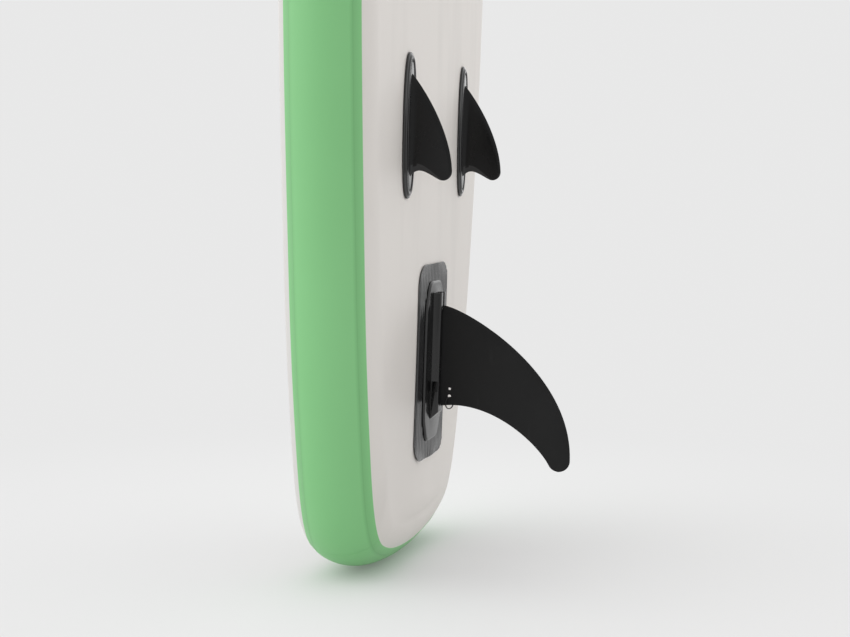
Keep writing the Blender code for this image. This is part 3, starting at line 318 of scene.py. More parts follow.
def runs_for(count, low=0.0, high=None):
    """Distances along the outline, closer together where it turns."""
    mixed = (1 - TURN_SHARE) * RUN / RUN[-1] + TURN_SHARE * TURNED / TURNED[-1]
    ends = np.interp([low, RUN[-1] if high is None else high], RUN, mixed)
    return np.interp(np.linspace(ends[0], ends[1], count), mixed, RUN)


def stations(runs, side):
    """Edge point and outward direction at each distance, on the left (-1) or right (+1) side."""
    x, z = outline_at(runs)
    (x0, z0), (x1, z1) = outline_at(runs - HEADING_STEP), outline_at(runs + HEADING_STEP)
    along = np.stack([x1 - x0, z1 - z0], axis=1)
    along /= np.linalg.norm(along, axis=1)[:, None]
    zero = np.zeros_like(x)
    return np.stack([side * x, zero, z], axis=1), np.stack([side * along[:, 1], zero, -along[:, 0]], axis=1)


def rail_points(edge, out, angle, proud):
    """Points of the round rail: angle 0 is its outermost line, +90 degrees faces the bottom."""
    a = math.radians(angle)
    reach = (RAIL_RADIUS + proud) * math.cos(a) - RAIL_RADIUS
    point = edge + out * reach
    point[:, 1] = middle_y(point[:, 2]) - (RAIL_RADIUS + proud) * math.sin(a)
    return point


def flat_points(edge, out, share, deck, proud):
    """Points of the deck or bottom: share 0 is the centre line, 1 is where the rail begins."""
    inner = edge - out * RAIL_RADIUS
    spine = np.zeros_like(edge)
    spine[:, 2] = SPINE_INSET + (LENGTH - 2 * SPINE_INSET) * edge[:, 2] / LENGTH
    point = spine + (inner - spine) * share
    crown = (DECK_CROWN if deck else BOTTOM_CROWN) * (1 - share**2)
    height = RAIL_RADIUS + crown + proud
    point[:, 1] = middle_y(point[:, 2]) + (height if deck else -height)
    return point


def seat_matrix(x, z, deck, lift=0.0, reach=0.02):
    """A frame on the hull: Z outwards, Y towards the nose."""
    def y(dx, dz):
        return float(flat_y(x + dx, z + dz, deck))

    ahead = Vector((0.0, y(0, reach) - y(0, -reach), 2 * reach)).normalized()
    across = Vector((2 * reach, y(reach, 0) - y(-reach, 0), 0.0)).normalized()
    out = across.cross(ahead).normalized()
    if (out.y > 0) != deck:
        out.negate()
    across = ahead.cross(out)
    turn = Matrix((across, ahead, out)).transposed().to_4x4()
    return Matrix.Translation(Vector((x, y(0, 0), z)) + out * lift) @ turn


# %% [markdown]
# ## Effects that several finishes share
# Each effect is a shader node group with named inputs: a soft mottle for uneven colour and gloss, a woven
# height for reinforced PVC and webbing, a fine grain for moulded plastic and foam, and scuffs for handling.
# They put out masks and heights only. The shader stays in each material, which says how strong they are.
# %% Node helpers and the shared groups


def node(tree, kind, inputs=None, **settings):
    """Adds a node, sets it, and links or sets its inputs."""
    made = tree.nodes.new(kind)
    for key, value in settings.items():
        setattr(made, key, value)
    for key, value in (inputs or {}).items():
        if isinstance(value, bpy.types.NodeSocket):
            tree.links.new(value, made.inputs[key])
        else:
            made.inputs[key].default_value = value
    return made


def math_node(tree, operation, a, b=0.0, c=0.0):
    return node(tree, "ShaderNodeMath", {0: a, 1: b, 2: c}, operation=operation).outputs[0]


def times(tree, a, b):
    return math_node(tree, "MULTIPLY", a, b)


def effect_group(name, sizes, output):
    """An empty shader group with float inputs and one float output."""
    tree = bpy.data.node_groups.new(name, "ShaderNodeTree")
    for label, value in sizes.items():
        socket = tree.interface.new_socket(name=label, in_out="INPUT", socket_type="NodeSocketFloat")
        socket.default_value = value
    tree.interface.new_socket(name=output, in_out="OUTPUT", socket_type="NodeSocketFloat")
    given = node(tree, "NodeGroupInput").outputs
    result = node(tree, "NodeGroupOutput").inputs
    place = node(tree, "ShaderNodeTexCoord").outputs["Object"]
    return tree, given, result, place


def make_mottle():
    tree, given, result, place = effect_group("mottle", {"Scale": 4.0}, "Mask")
    noise = node(tree, "ShaderNodeTexNoise", {"Vector": place, "Scale": given["Scale"], "Detail": 5.0})
    spread = node(tree, "ShaderNodeMapRange", {"Value": noise.outputs[0], "From Min": 0.32, "From Max": 0.68})
    tree.links.new(spread.outputs[0], result["Mask"])
    return tree


def make_weave():
    tree, given, result, place = effect_group("weave", {"Pitch": 0.0012}, "Height")
    axes = node(tree, "ShaderNodeSeparateXYZ", {0: place}).outputs
    turns_per_metre = math_node(tree, "DIVIDE", 2 * math.pi, given["Pitch"])
    around = times(tree, math_node(tree, "ADD", axes[0], axes[1]), turns_per_metre)
    along = times(tree, axes[2], turns_per_metre)
    crossed = times(tree, math_node(tree, "SINE", around), math_node(tree, "SINE", along))
    tree.links.new(math_node(tree, "MULTIPLY_ADD", crossed, 0.5, 0.5), result["Height"])
    return tree


def make_grain():
    tree, given, result, place = effect_group("grain", {"Scale": 900.0}, "Height")
    noise = node(tree, "ShaderNodeTexNoise", {"Vector": place, "Scale": given["Scale"], "Detail": 3.0})
    tree.links.new(noise.outputs[0], result["Height"])
    return tree


def make_scuffs():
    tree, given, result, place = effect_group("scuffs", {"Scale": 30.0, "Spread": 0.06}, "Mask")
    drawn_out = {"Vector": place, "Scale": (1.0, 1.0, 0.14), "Rotation": (0.3, 0.2, 0.0)}
    stretched = node(tree, "ShaderNodeMapping", drawn_out).outputs[0]
    noise = node(tree, "ShaderNodeTexNoise", {"Vector": stretched, "Scale": given["Scale"], "Detail": 6.0})
    start = math_node(tree, "SUBTRACT", 0.70, given["Spread"])
    mask = node(tree, "ShaderNodeMapRange", {"Value": noise.outputs[0], "From Min": start, "From Max": 0.76})
    tree.links.new(mask.outputs[0], result["Mask"])
    return tree


MOTTLE, WEAVE, GRAIN, SCUFFS = make_mottle(), make_weave(), make_grain(), make_scuffs()
print("effects", [g.name for g in bpy.data.node_groups])

# %% [markdown]
# ## Finishes
# One recipe makes them all. Two close colours are mixed by the mottle, scuffs lie over them, the gloss
# varies a little with the same mottle, and the weave or grain is a shallow bump with a real depth in metres.
# What is even all over, such as the metal, coat or sheen, is set on the shader itself.
# %% The recipe for a finish
SCUFF_SHARE = 0.6


def mixed_color(tree, share, first, second):
    return node(tree, "ShaderNodeMix", {0: share, 6: first, 7: second}, data_type="RGBA").outputs[2]


def finish(
    name, colors, roughness, mottle, weave=None, grain=None, scuffs=None, metallic=0.0, even=None, line=None
):
    """colors: (first, second). roughness: (low, high). mottle: its scale. weave and grain: (size, depth).

    scuffs: (colour, scale, spread). even: what is the same all over. line: the colour of marked places, a
    painted shade on the rail bands' tape step and a painted highlight on the side fins' bevels.
    """
    made = bpy.data.materials.new(name)
    made.use_nodes = True
    tree = made.node_tree
    shader = tree.nodes["Principled BSDF"]
    shader.inputs["Metallic"].default_value = metallic
    for key, value in (even or {}).items():
        shader.inputs[key].default_value = value
    uneven = node(tree, "ShaderNodeGroup", node_tree=MOTTLE)
    uneven.inputs["Scale"].default_value = mottle
    mask = uneven.outputs["Mask"]
    first, second = [(*c, 1.0) for c in colors]
    color = mixed_color(tree, mask, first, second)
    if scuffs:
        worn_color, scale, spread = scuffs
        worn = node(tree, "ShaderNodeGroup", node_tree=SCUFFS)
        worn.inputs["Scale"].default_value, worn.inputs["Spread"].default_value = scale, spread
        share = times(tree, worn.outputs["Mask"], SCUFF_SHARE)
        color = mixed_color(tree, share, color, (*worn_color, 1.0))
    # Painted light and shade: the mark's colour is a darker green line for the shade of the rail tape's step,
    # and a lighter black for the highlight on the side fins' bevels.
    if line:
        marked = node(tree, "ShaderNodeAttribute", attribute_name="marked").outputs["Fac"]
        color = mixed_color(tree, marked, color, (*line, 1.0))
    tree.links.new(color, shader.inputs["Base Color"])
    low, high = roughness
    rough = node(tree, "ShaderNodeMapRange", {"Value": mask, "To Min": low, "To Max": high})
    tree.links.new(rough.outputs[0], shader.inputs["Roughness"])
    normal = None
    for group, key, values in ((WEAVE, "Pitch", weave), (GRAIN, "Scale", grain)):
        if not values:
            continue
        height = node(tree, "ShaderNodeGroup", node_tree=group)
        height.inputs[key].default_value = values[0]
        inputs = {"Height": height.outputs["Height"], "Distance": values[1], "Strength": 1.0}
        if normal is not None:
            inputs["Normal"] = normal
        normal = node(tree, "ShaderNodeBump", inputs).outputs[0]
    if normal is not None:
        tree.links.new(normal, shader.inputs["Normal"])
    return made


# %% The board's own finishes
BOTTOM_PVC = finish(
    "bottom_pvc", ((0.690, 0.655, 0.620), (0.725, 0.690, 0.655)), (0.42, 0.54), 3.0,
    weave=(0.0011, 0.00003), grain=(260.0, 0.00008), scuffs=((0.60, 0.57, 0.54), 9.0, 0.14),
)
DECK_PVC = finish(
    "deck_pvc", ((0.60, 0.585, 0.565), (0.63, 0.615, 0.595)), (0.44, 0.56), 3.0,
    weave=(0.0011, 0.00003), grain=(260.0, 0.00008),
)
GREEN_PVC = finish(
    "green_pvc", ((0.205, 0.525, 0.208), (0.222, 0.548, 0.224)), (0.40, 0.52), 3.0,
    weave=(0.0011, 0.00003), grain=(200.0, 0.00010), scuffs=((0.25, 0.52, 0.25), 7.0, 0.02),
    # line: painted shade, a darker green along the rail tape's step
    line=(0.085, 0.290, 0.090),
)
RIBBED_PVC = finish(
    "ribbed_pvc", ((0.016, 0.016, 0.0165), (0.024, 0.024, 0.0245)), (0.10, 0.18), 22.0,
    grain=(900.0, 0.00003), scuffs=((0.06, 0.06, 0.06), 30.0, 0.03), even={"Specular IOR Level": 0.8},
)
MOULDED_BLACK = finish(
    "moulded_black", ((0.006, 0.006, 0.0062), (0.009, 0.009, 0.0092)), (0.18, 0.30), 18.0,
    grain=(1400.0, 0.00001), scuffs=((0.03, 0.03, 0.03), 40.0, 0.02), even={"Specular IOR Level": 0.5},
)
FIN_BLACK = finish(
    "fin_black", ((0.0055, 0.0055, 0.0058), (0.0085, 0.0085, 0.0088)), (0.36, 0.46), 14.0,
    grain=(1100.0, 0.00003), scuffs=((0.028, 0.028, 0.028), 30.0, 0.03), even={"Specular IOR Level": 0.24},
)
GLOSS_BLACK = finish(
    "gloss_black", ((0.005, 0.005, 0.0053), (0.008, 0.008, 0.0083)), (0.12, 0.22), 16.0,
    grain=(1200.0, 0.00001), even={"Specular IOR Level": 0.45, "Coat Weight": 0.35, "Coat Roughness": 0.12},
)
SOFT_BLACK = finish(
    "soft_black", ((0.004, 0.004, 0.0042), (0.006, 0.006, 0.0062)), (0.24, 0.36), 16.0,
    grain=(1200.0, 0.00001), scuffs=((0.03, 0.03, 0.03), 34.0, 0.02), even={"Specular IOR Level": 0.26},
    # line: a painted highlight, a lighter black on the side fins' bevel faces
    line=(0.034, 0.034, 0.035),
)
INSERT_GREY = finish(
    "insert_grey", ((0.020, 0.020, 0.021), (0.028, 0.028, 0.029)), (0.16, 0.26), 16.0,
    grain=(1200.0, 0.00001), even={"Specular IOR Level": 0.7, "Coat Weight": 0.5, "Coat Roughness": 0.15},
)
PAD_FOAM = finish(
    "pad_foam", ((0.150, 0.165, 0.170), (0.185, 0.200, 0.205)), (0.82, 0.94), 9.0, grain=(1500.0, 0.00025),
)
PAD_TREAD = finish(
    "pad_tread", ((0.205, 0.222, 0.228), (0.240, 0.258, 0.262)), (0.78, 0.92), 9.0, grain=(1500.0, 0.00030),
)
WEBBING = finish(
    "webbing", ((0.018, 0.018, 0.019), (0.030, 0.030, 0.031)), (0.70, 0.86), 60.0,
    weave=(0.0016, 0.00030), grain=(2500.0, 0.00010), even={"Sheen Weight": 0.25, "Sheen Roughness": 0.4},
)
THREAD = finish(
    "thread", ((0.20, 0.36, 0.20), (0.26, 0.42, 0.25)), (0.6, 0.75), 90.0, grain=(3000.0, 0.00008),
)
VALVE_GREY = finish(
    "valve_grey", ((0.060, 0.062, 0.065), (0.080, 0.082, 0.085)), (0.36, 0.48), 24.0,
    grain=(1500.0, 0.00004), scuffs=((0.16, 0.16, 0.16), 45.0, 0.03),
)
STEEL = finish(
    "steel", ((0.56, 0.56, 0.57), (0.64, 0.64, 0.64)), (0.16, 0.32), 70.0,
    grain=(2200.0, 0.00002), metallic=1.0,
)
BLACK_STEEL = finish(
    "black_steel", ((0.004, 0.004, 0.0042), (0.007, 0.007, 0.0073)), (0.34, 0.46), 80.0,
    grain=(2200.0, 0.00002),
)
CORE_WEAVE = finish(
    "core_weave", ((0.55, 0.55, 0.53), (0.62, 0.62, 0.60)), (0.75, 0.9), 8.0, weave=(0.003, 0.0004),
)
print(len(bpy.data.materials), "materials so far")

# %% [markdown]
# ## Geometry Nodes trees
# What repeats is made by four small trees: ribs pressed into a sheet, tread tiles laid on the deck, stitches
# along a path and grip ribs round a cap. Each has named sizes, and its result is made a plain mesh.
# %% Helpers for the trees


def geometry_tree(name, sizes):
    """A Geometry Nodes tree that takes a geometry and named inputs, and puts out a geometry."""
    tree = bpy.data.node_groups.new(name, "GeometryNodeTree")
    tree.is_modifier = True
    tree.interface.new_socket(name="Geometry", in_out="INPUT", socket_type="NodeSocketGeometry")
    for label, kind in sizes.items():
        tree.interface.new_socket(name=label, in_out="INPUT", socket_type=f"NodeSocket{kind}")
    tree.interface.new_socket(name="Geometry", in_out="OUTPUT", socket_type="NodeSocketGeometry")
    return tree, node(tree, "NodeGroupInput").outputs, node(tree, "NodeGroupOutput").inputs


def tree_end(tree, result, geometry, material):
    """Every tree ends by making its instances real and giving them their finish."""
    real = node(tree, "GeometryNodeRealizeInstances", {0: geometry}).outputs[0]
    painted = node(tree, "GeometryNodeSetMaterial", {"Geometry": real, "Material": material}).outputs[0]
    tree.links.new(painted, result[0])


def grown(piece, tree, values):
    """Runs a tree on a piece with its named values, and keeps the result as a plain mesh."""
    step = piece.modifiers.new(tree.name, "NODES")
    step.node_group = tree
    for item in tree.interface.items_tree:
        if item.item_type == "SOCKET" and item.in_out == "INPUT" and item.name in values:
            step[item.identifier] = values[item.name]
    return settled(piece)


def turned_to(tree, vector, axis):
    return node(tree, "FunctionNodeAlignRotationToVector", {"Vector": vector}, axis=axis).outputs[0]


def copies(tree, points, pattern, turn=(0.0, 0.0, 0.0)):
    inputs = {"Points": points, "Instance": pattern, "Rotation": turn}
    return node(tree, "GeometryNodeInstanceOnPoints", inputs).outputs[0]


def vector_math(tree, operation, a, b=(0.0, 0.0, 0.0)):
    return node(tree, "ShaderNodeVectorMath", {0: a, 1: b}, operation=operation).outputs[0]


# %% Ribs pressed into a sheet
def make_rib_tree():
    """Lifts every point of a sheet that lies on a rib: ribs run along Z and repeat across X."""
    tree, given, result = geometry_tree(
        "pressed_ribs", {"Pitch": "Float", "Height": "Float", "Half Width": "Float", "Finish": "Material"}
    )
    place = node(tree, "GeometryNodeInputPosition").outputs[0]
    axes = node(tree, "ShaderNodeSeparateXYZ", {0: place}).outputs
    phase = times(tree, math_node(tree, "DIVIDE", axes[0], given["Pitch"]), 2 * math.pi)
    wave = math_node(tree, "MULTIPLY_ADD", math_node(tree, "COSINE", phase), 0.5, 0.5)
    bump = math_node(tree, "POWER", wave, 0.7)
    inside = math_node(tree, "LESS_THAN", math_node(tree, "ABSOLUTE", axes[0]), given["Half Width"])
    outer = node(tree, "GeometryNodeInputNamedAttribute", {0: "outer"}, data_type="FLOAT").outputs[0]
    lift = times(tree, times(tree, bump, given["Height"]), inside)
    lift = times(tree, lift, outer)
    shift = node(tree, "ShaderNodeCombineXYZ", {1: times(tree, lift, -1.0)}).outputs[0]
    moved = node(tree, "GeometryNodeSetPosition", {"Geometry": given["Geometry"], "Offset": shift}).outputs[0]
    tree_end(tree, result, moved, given["Finish"])
    return tree


# %% Tread tiles laid on a surface
def make_tread_tree():
    """Points of a staggered lattice drop onto the geometry, and each carries a tile turned to the surface."""
    tree, given, result = geometry_tree("tread_tiles", {
        "Tile": "Object", "Pitch X": "Float", "Pitch Z": "Float", "Columns": "Int", "Rows": "Int",
        "Centre": "Vector", "Finish": "Material",
    })
    lattice = node(tree, "GeometryNodeMeshGrid", {
        "Vertices X": given["Columns"], "Vertices Y": given["Rows"],
        "Size X": times(tree, math_node(tree, "SUBTRACT", given["Columns"], 1.0), given["Pitch X"]),
        "Size Y": times(tree, math_node(tree, "SUBTRACT", given["Rows"], 1.0), given["Pitch Z"]),
    }).outputs[0]
    place = node(tree, "GeometryNodeInputPosition").outputs[0]
    flat = node(tree, "ShaderNodeSeparateXYZ", {0: place}).outputs
    row = math_node(tree, "ROUND", math_node(tree, "DIVIDE", flat[1], given["Pitch Z"]))
    odd = math_node(tree, "FLOORED_MODULO", row, 2.0)
    stagger = times(tree, odd, times(tree, given["Pitch X"], 0.5))
    x = math_node(tree, "ADD", flat[0], stagger)
    upright = node(tree, "ShaderNodeCombineXYZ", {0: x, 1: 0.5, 2: flat[1]}).outputs[0]
    placed = vector_math(tree, "ADD", upright, given["Centre"])
    points = node(tree, "GeometryNodeSetPosition", {"Geometry": lattice, "Position": placed}).outputs[0]
    ray = node(tree, "GeometryNodeRaycast", {
        "Target Geometry": given["Geometry"], "Ray Direction": (0.0, -1.0, 0.0), "Ray Length": 1.0,
    })
    missed = node(tree, "FunctionNodeBooleanMath", {0: ray.outputs["Is Hit"]}, operation="NOT").outputs[0]
    normal = node(tree, "GeometryNodeCaptureAttribute", {"Geometry": points})
    normal.capture_items.new("VECTOR", "normal")
    normal.capture_items.new("VECTOR", "hit")
    tree.links.new(ray.outputs["Hit Normal"], normal.inputs["normal"])
    tree.links.new(ray.outputs["Hit Position"], normal.inputs["hit"])
    kept = node(tree, "GeometryNodeDeleteGeometry", {
        "Geometry": normal.outputs["Geometry"], "Selection": missed,
    }).outputs[0]
    laid = node(tree, "GeometryNodeSetPosition", {
        "Geometry": kept, "Position": normal.outputs["hit"],
    }).outputs[0]
    turn = turned_to(tree, normal.outputs["normal"], "Y")
    tile = node(tree, "GeometryNodeObjectInfo", {"Object": given["Tile"]}).outputs["Geometry"]
    tree_end(tree, result, copies(tree, laid, tile, turn), given["Finish"])
    return tree


# %% Stitches along a path, and ribs round a cap
def make_stitch_tree():
    """A path of edges becomes a curve, and a short thread lies on it at every stitch."""
    tree, given, result = geometry_tree(
        "stitch_row", {"Spacing": "Float", "Length": "Float", "Thread": "Float", "Finish": "Material"}
    )
    curve = node(tree, "GeometryNodeMeshToCurve", {0: given["Geometry"]}).outputs[0]
    points = node(tree, "GeometryNodeCurveToPoints", {0: curve, "Length": given["Spacing"]}, mode="LENGTH")
    thread = node(tree, "GeometryNodeMeshCylinder", {
        "Vertices": 6, "Radius": given["Thread"], "Depth": given["Length"],
    }).outputs[0]
    turn = turned_to(tree, points.outputs["Tangent"], "Z")
    tree_end(tree, result, copies(tree, points.outputs[0], thread, turn), given["Finish"])
    return tree


def make_cap_rib_tree():
    """Grip ribs stand round a circle; the geometry that comes in is joined to them."""
    tree, given, result = geometry_tree("cap_ribs", {
        "Count": "Int", "Radius": "Float", "Rib": "Float", "Height": "Float", "Level": "Float",
        "Finish": "Material",
    })
    ring = node(tree, "GeometryNodeMeshCircle", {
        "Vertices": given["Count"], "Radius": given["Radius"],
    }).outputs[0]
    rib = node(tree, "GeometryNodeMeshCylinder", {
        "Vertices": 8, "Radius": given["Rib"], "Depth": given["Height"],
    }).outputs[0]
    ribs = copies(tree, ring, rib)
    lift = node(tree, "ShaderNodeCombineXYZ", {2: given["Level"]}).outputs[0]
    moved = node(tree, "GeometryNodeTransform", {"Geometry": ribs, "Translation": lift}).outputs[0]
    joined = node(tree, "GeometryNodeJoinGeometry", {0: given["Geometry"]})
    tree.links.new(moved, joined.inputs[0])
    tree_end(tree, result, joined.outputs[0], given["Finish"])
    return tree


RIBS, TREAD, STITCHES, CAP_RIBS = make_rib_tree(), make_tread_tree(), make_stitch_tree(), make_cap_rib_tree()
print("trees", [t.name for t in (RIBS, TREAD, STITCHES, CAP_RIBS)])

# %% [markdown]
# ## Skins and rail bands
# The bottom and deck are sheets of coated fabric that wrap a little way round the rail. The green rail band
# is glued over both, so its edge stands a fraction of a millimetre proud, and a second, narrower tape under
# it shows as a faint step 14 mm inside the seam. Each sheet is one grid of points with an inner grid behind
# it. A point value marks the step, so that the finish can paint a darker green line there: painted shade of
# the step.
# %% Fine skins
STATION_COUNT = 190
hull_runs = runs_for(STATION_COUNT)
FLAT_SHARES = np.linspace(0.0, 1.0, 9)


def skin_grid(deck, proud):
    """Columns from the left seam over the centre line to the right seam."""
    seam, face = (DECK_SEAM, -90.0) if deck else (BOTTOM_SEAM, 90.0)
    angles = np.linspace(seam, face, 9)[:-1]
    sides = []
    for side in (-1, 1):
        edge, out = stations(hull_runs, side)
        columns = [rail_points(edge, out, a, proud) for a in angles]
        columns += [flat_points(edge, out, s, deck, proud) for s in FLAT_SHARES[::-1]]
        sides.append(columns)
    return np.stack(sides[0] + sides[1][::-1][1:], axis=1)


def make_skin_panel(name, deck, material):
    mesh = sheet_mesh(name, skin_grid(deck, 0.0), skin_grid(deck, -SKIN), end_rims=False)
    return object_of(name, mesh, material)


bottom_panel = make_skin_panel("bottom_panel", False, BOTTOM_PVC)
stands_for(bottom_panel, "board", "white_pvc", "bottom_skin")
print("bottom panel", len(bottom_panel.data.polygons), "faces")

# %% Rail bands with their taped edges
BAND_PROUD, TAPE_STEP = 0.0005, 0.0003
TAPE_INSET, STEP_WIDTH = 0.014, 0.9
# Reach in millimetres and strength of the painted shade along the tape step
STEP_SHADE_REACH, STEP_SHADE_SHARE = 1.6, 0.45
MM = math.degrees(0.001 / RAIL_RADIUS)  # a millimetre round the rail, in degrees


def band_profile():
    """(angle, proud) across the band, from the deck seam to the bottom seam."""
    inset = TAPE_INSET * 1000 * MM
    low, high = DECK_SEAM, BOTTOM_SEAM
    top = BAND_PROUD + TAPE_STEP
    steps_in = (
        (0.0, 0.0), (0.5 * MM, BAND_PROUD), (inset, BAND_PROUD), (inset + STEP_WIDTH * MM, top),
        (inset + 2.2 * MM, top),
    )
    edge = [(low + a, p) for a, p in steps_in]
    back = [(high - a, p) for a, p in reversed(steps_in)]
    middle = np.linspace(edge[-1][0], back[0][0], 22)[1:-1]
    return edge + [(a, top) for a in middle] + back


def mark_painted_step_shade(mesh):
    """Painted shade along the taped step: a point value that is strongest on the step and is gone 1.6 mm away
    from it.
    """
    points = np.array([v.co for v in mesh.vertices])
    angle = np.degrees(np.arcsin(np.clip((middle_y(points[:, 2]) - points[:, 1]) / RAIL_RADIUS, -1.0, 1.0)))
    inset = TAPE_INSET * 1000 * MM + STEP_WIDTH / 2 * MM
    away = np.minimum(np.abs(angle - (BOTTOM_SEAM - inset)), np.abs(angle - (DECK_SEAM + inset)))
    shares = np.clip(STEP_SHADE_REACH - away / MM, 0.0, 1.0) * STEP_SHADE_SHARE
    mesh.attributes.new("marked", "FLOAT", "POINT").data.foreach_set("value", shares)


def band_grid(runs, side, shift):
    edge, out = stations(runs, side)
    return np.stack([rail_points(edge, out, a, p + shift) for a, p in band_profile()], axis=1)


def make_band(name, node_name, pieces):
    """pieces: (distances along the outline, side), laid end to end."""
    outer = np.concatenate([band_grid(runs, side, 0.0) for runs, side in pieces])
    inner = np.concatenate([band_grid(runs, side, -SKIN) for runs, side in pieces])
    band = object_of(name, sheet_mesh(name, outer, inner), GREEN_PVC)
    mark_painted_step_shade(band.data)
    return stands_for(band, "board", "green_pvc", node_name)


OVERLAP = 0.0004
long_run = runs_for(170, TAIL_BAND_REACH + OVERLAP, RUN[-1])
tail_run = runs_for(46, 0.0, TAIL_BAND_REACH)
for label, side in (("left", -1), ("right", 1)):
    make_band(f"rail_band_cover_{label}", f"rail_band_{label}", [(long_run, side)])
make_band("tail_band_cover", "tail_band", [(tail_run[::-1], -1), (tail_run[1:], 1)])
print("rail bands laid")

# %% [markdown]
# ## Deck skin with the valve's hole
# The deck skin is the same sheet on the other side, with a round hole for the inflation valve.
# %% Deck skin
VALVE_Z = 0.250
VALVE_HOLE = 0.0221
valve_frame = seat_matrix(0.0, VALVE_Z, True, reach=0.030)


def turned_loops(profile, steps=64):
    """Loops about local Z for a profile of (radius, height)."""
    angles = [2 * math.pi * i / steps for i in range(steps)]
    return [[(r * math.cos(a), r * math.sin(a), h) for a in angles] for r, h in profile]


def disc_mesh(name, radius, low, high, matrix, steps=64):
    mesh = loft_mesh(name, turned_loops([(radius, low), (radius, high)], steps))
    mesh.transform(matrix)
    return mesh


deck_panel = make_skin_panel("deck_panel", True, DECK_PVC)
carved(deck_panel, [disc_mesh("valve_hole", VALVE_HOLE, -0.01, 0.02, valve_frame)])
smooth(deck_panel.data)
stands_for(deck_panel, "board", "deck_pvc", "deck_skin")
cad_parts["dropstitch_core"].data.materials.clear()
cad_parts["dropstitch_core"].data.materials.append(CORE_WEAVE)
print("deck panel", len(deck_panel.data.polygons), "faces")

# %% [markdown]
# ## Fin patch and fin box
# A sheet with pressed ribs is welded to the bottom, and the fin box is moulded onto it: a flat plate with a
# raised channel, whose T slot is open at its front end. The sheet is a fine grid, and the rib tree lifts it.
# %% Ribbed patch
FIN_Z = 0.331
PATCH_LENGTH, PATCH_WIDTH, PATCH_CORNER = 0.320, 0.180, 0.035
SHEET_LOW, SHEET_HIGH = 0.0003, 0.0018
PATCH_LOOSE, LOOSE_LIFT, LOOSE_WAVES = 0.030, 0.0024, 75.0
RIB_PITCH, RIB_HEIGHT, RIB_MARGIN = 0.0095, 0.0010, 0.004
PLATE_HALF_WIDTH, PLATE_HALF_LENGTH, PLATE_TAPER_START, PLATE_TAPER = 0.053, 0.131, 0.096, 0.7


def rounded_grid(centre, size, corner, columns, rows, corner_rows):
    """Columns and rows of X and Z that fill a rectangle with round corners."""
    half_w, half_l = size[0] / 2, size[1] / 2
    quarter = -half_l + corner * (1 - np.cos(np.linspace(0, math.pi / 2, corner_rows)))
    middle = np.linspace(-half_l + corner, half_l - corner, rows)[1:-1]
    heights = np.concatenate([quarter, middle, -quarter[::-1]])
    past = np.maximum(np.abs(heights) - (half_l - corner), 0.0)
    widths = half_w - corner + np.sqrt(np.maximum(corner**2 - past**2, 0.0))
    x = centre[0] + widths[:, None] * np.linspace(-1, 1, columns)[None, :]
    return x, centre[1] + np.repeat(heights[:, None], columns, axis=1)


def patch_grid(height):
    """The patch follows the bottom, and its rear end has come a little loose."""
    x, z = rounded_grid((0.0, FIN_Z), (PATCH_WIDTH, PATCH_LENGTH), PATCH_CORNER, 241, 25, 10)
    loose = np.clip(1 - (z - FIN_Z + PATCH_LENGTH / 2) / PATCH_LOOSE, 0.0, 1.0) ** 2
    height = height + LOOSE_LIFT * loose * (0.55 + 0.45 * np.sin(LOOSE_WAVES * x + 1.0))
    return np.stack([x, flat_y(x, z, False) - height, z], axis=2)


mesh = sheet_mesh("fin_patch_sheet", patch_grid(SHEET_HIGH), patch_grid(SHEET_LOW))
patch = object_of("fin_patch_sheet", mesh, RIBBED_PVC)
points = np.array([v.co for v in patch.data.vertices])
along = np.abs(points[:, 2] - FIN_Z)
plate_edge = PLATE_HALF_WIDTH - PLATE_TAPER * np.maximum(along - PLATE_TAPER_START, 0.0)
under_plate = (along < PLATE_HALF_LENGTH) & (np.abs(points[:, 0]) < plate_edge)
facing = np.array([v.normal.y for v in patch.data.vertices]) < -0.5
outer_mark = patch.data.attributes.new("outer", "FLOAT", "POINT")
outer_mark.data.foreach_set("value", np.where(facing & ~under_plate, 1.0, 0.0))
grown(patch, RIBS, {
    "Pitch": RIB_PITCH, "Height": RIB_HEIGHT, "Half Width": PATCH_WIDTH / 2 - RIB_MARGIN,
    "Finish": RIBBED_PVC,
})
smooth(patch.data, SOFT_ANGLE)
stands_for(patch, "board", "grey_pvc", "fin_patch")
print("ribbed patch", len(patch.data.polygons), "faces")

# %% Fin box and latch
fin_box_piece = moulded("fin_box_moulding", "fin_box", MOULDED_BLACK, "board", "black_plastic", 0.0008, 3)
moulded("fin_latch_block", "fin_latch", SOFT_BLACK, "fin_latch", "black_plastic", 0.0006, 2)
print("fin box", len(fin_box_piece.data.polygons), "faces")

# %% [markdown]
# ## Fins
# Each fin is a loft between a leading and a trailing edge. The edges are cubic curves that end in the tip's
# arc, and the section swells from a rounded nose to a fine tail, so the outline and the foil are both smooth.
# %% Edges and sections
FIN_PLATE_LENGTH, FIN_BOX_LIFT = 0.264, 0.0024
fin_frame = seat_matrix(0.0, FIN_Z, False, lift=FIN_BOX_LIFT, reach=FIN_PLATE_LENGTH / 2)
TIP_ROWS = 15


def bezier(p0, p1, p2, p3, t):
    a, b, c, d = (1 - t) ** 3, 3 * (1 - t) ** 2 * t, 3 * (1 - t) * t * t, t**3
    return [a * p0[i] + b * p1[i] + c * p2[i] + d * p3[i] for i in (0, 1)]


def on_arc(centre, radius, start, end, t):
    angle = math.radians(start + (end - start) * t)
    return [centre[0] + radius * math.cos(angle), centre[1] + radius * math.sin(angle)]


def swept_edge(start, pulls, centre, radius, first, last, share):
    """A fin's edge from root to tip, then along the tip's arc, as a function of t from 0 to 1."""
    def edge(t):
        if t >= share:
            return on_arc(centre, radius, first, last, (t - share) / (1 - share))
        return bezier(start, *pulls, on_arc(centre, radius, first, last, 0.0), t / share)
    return edge


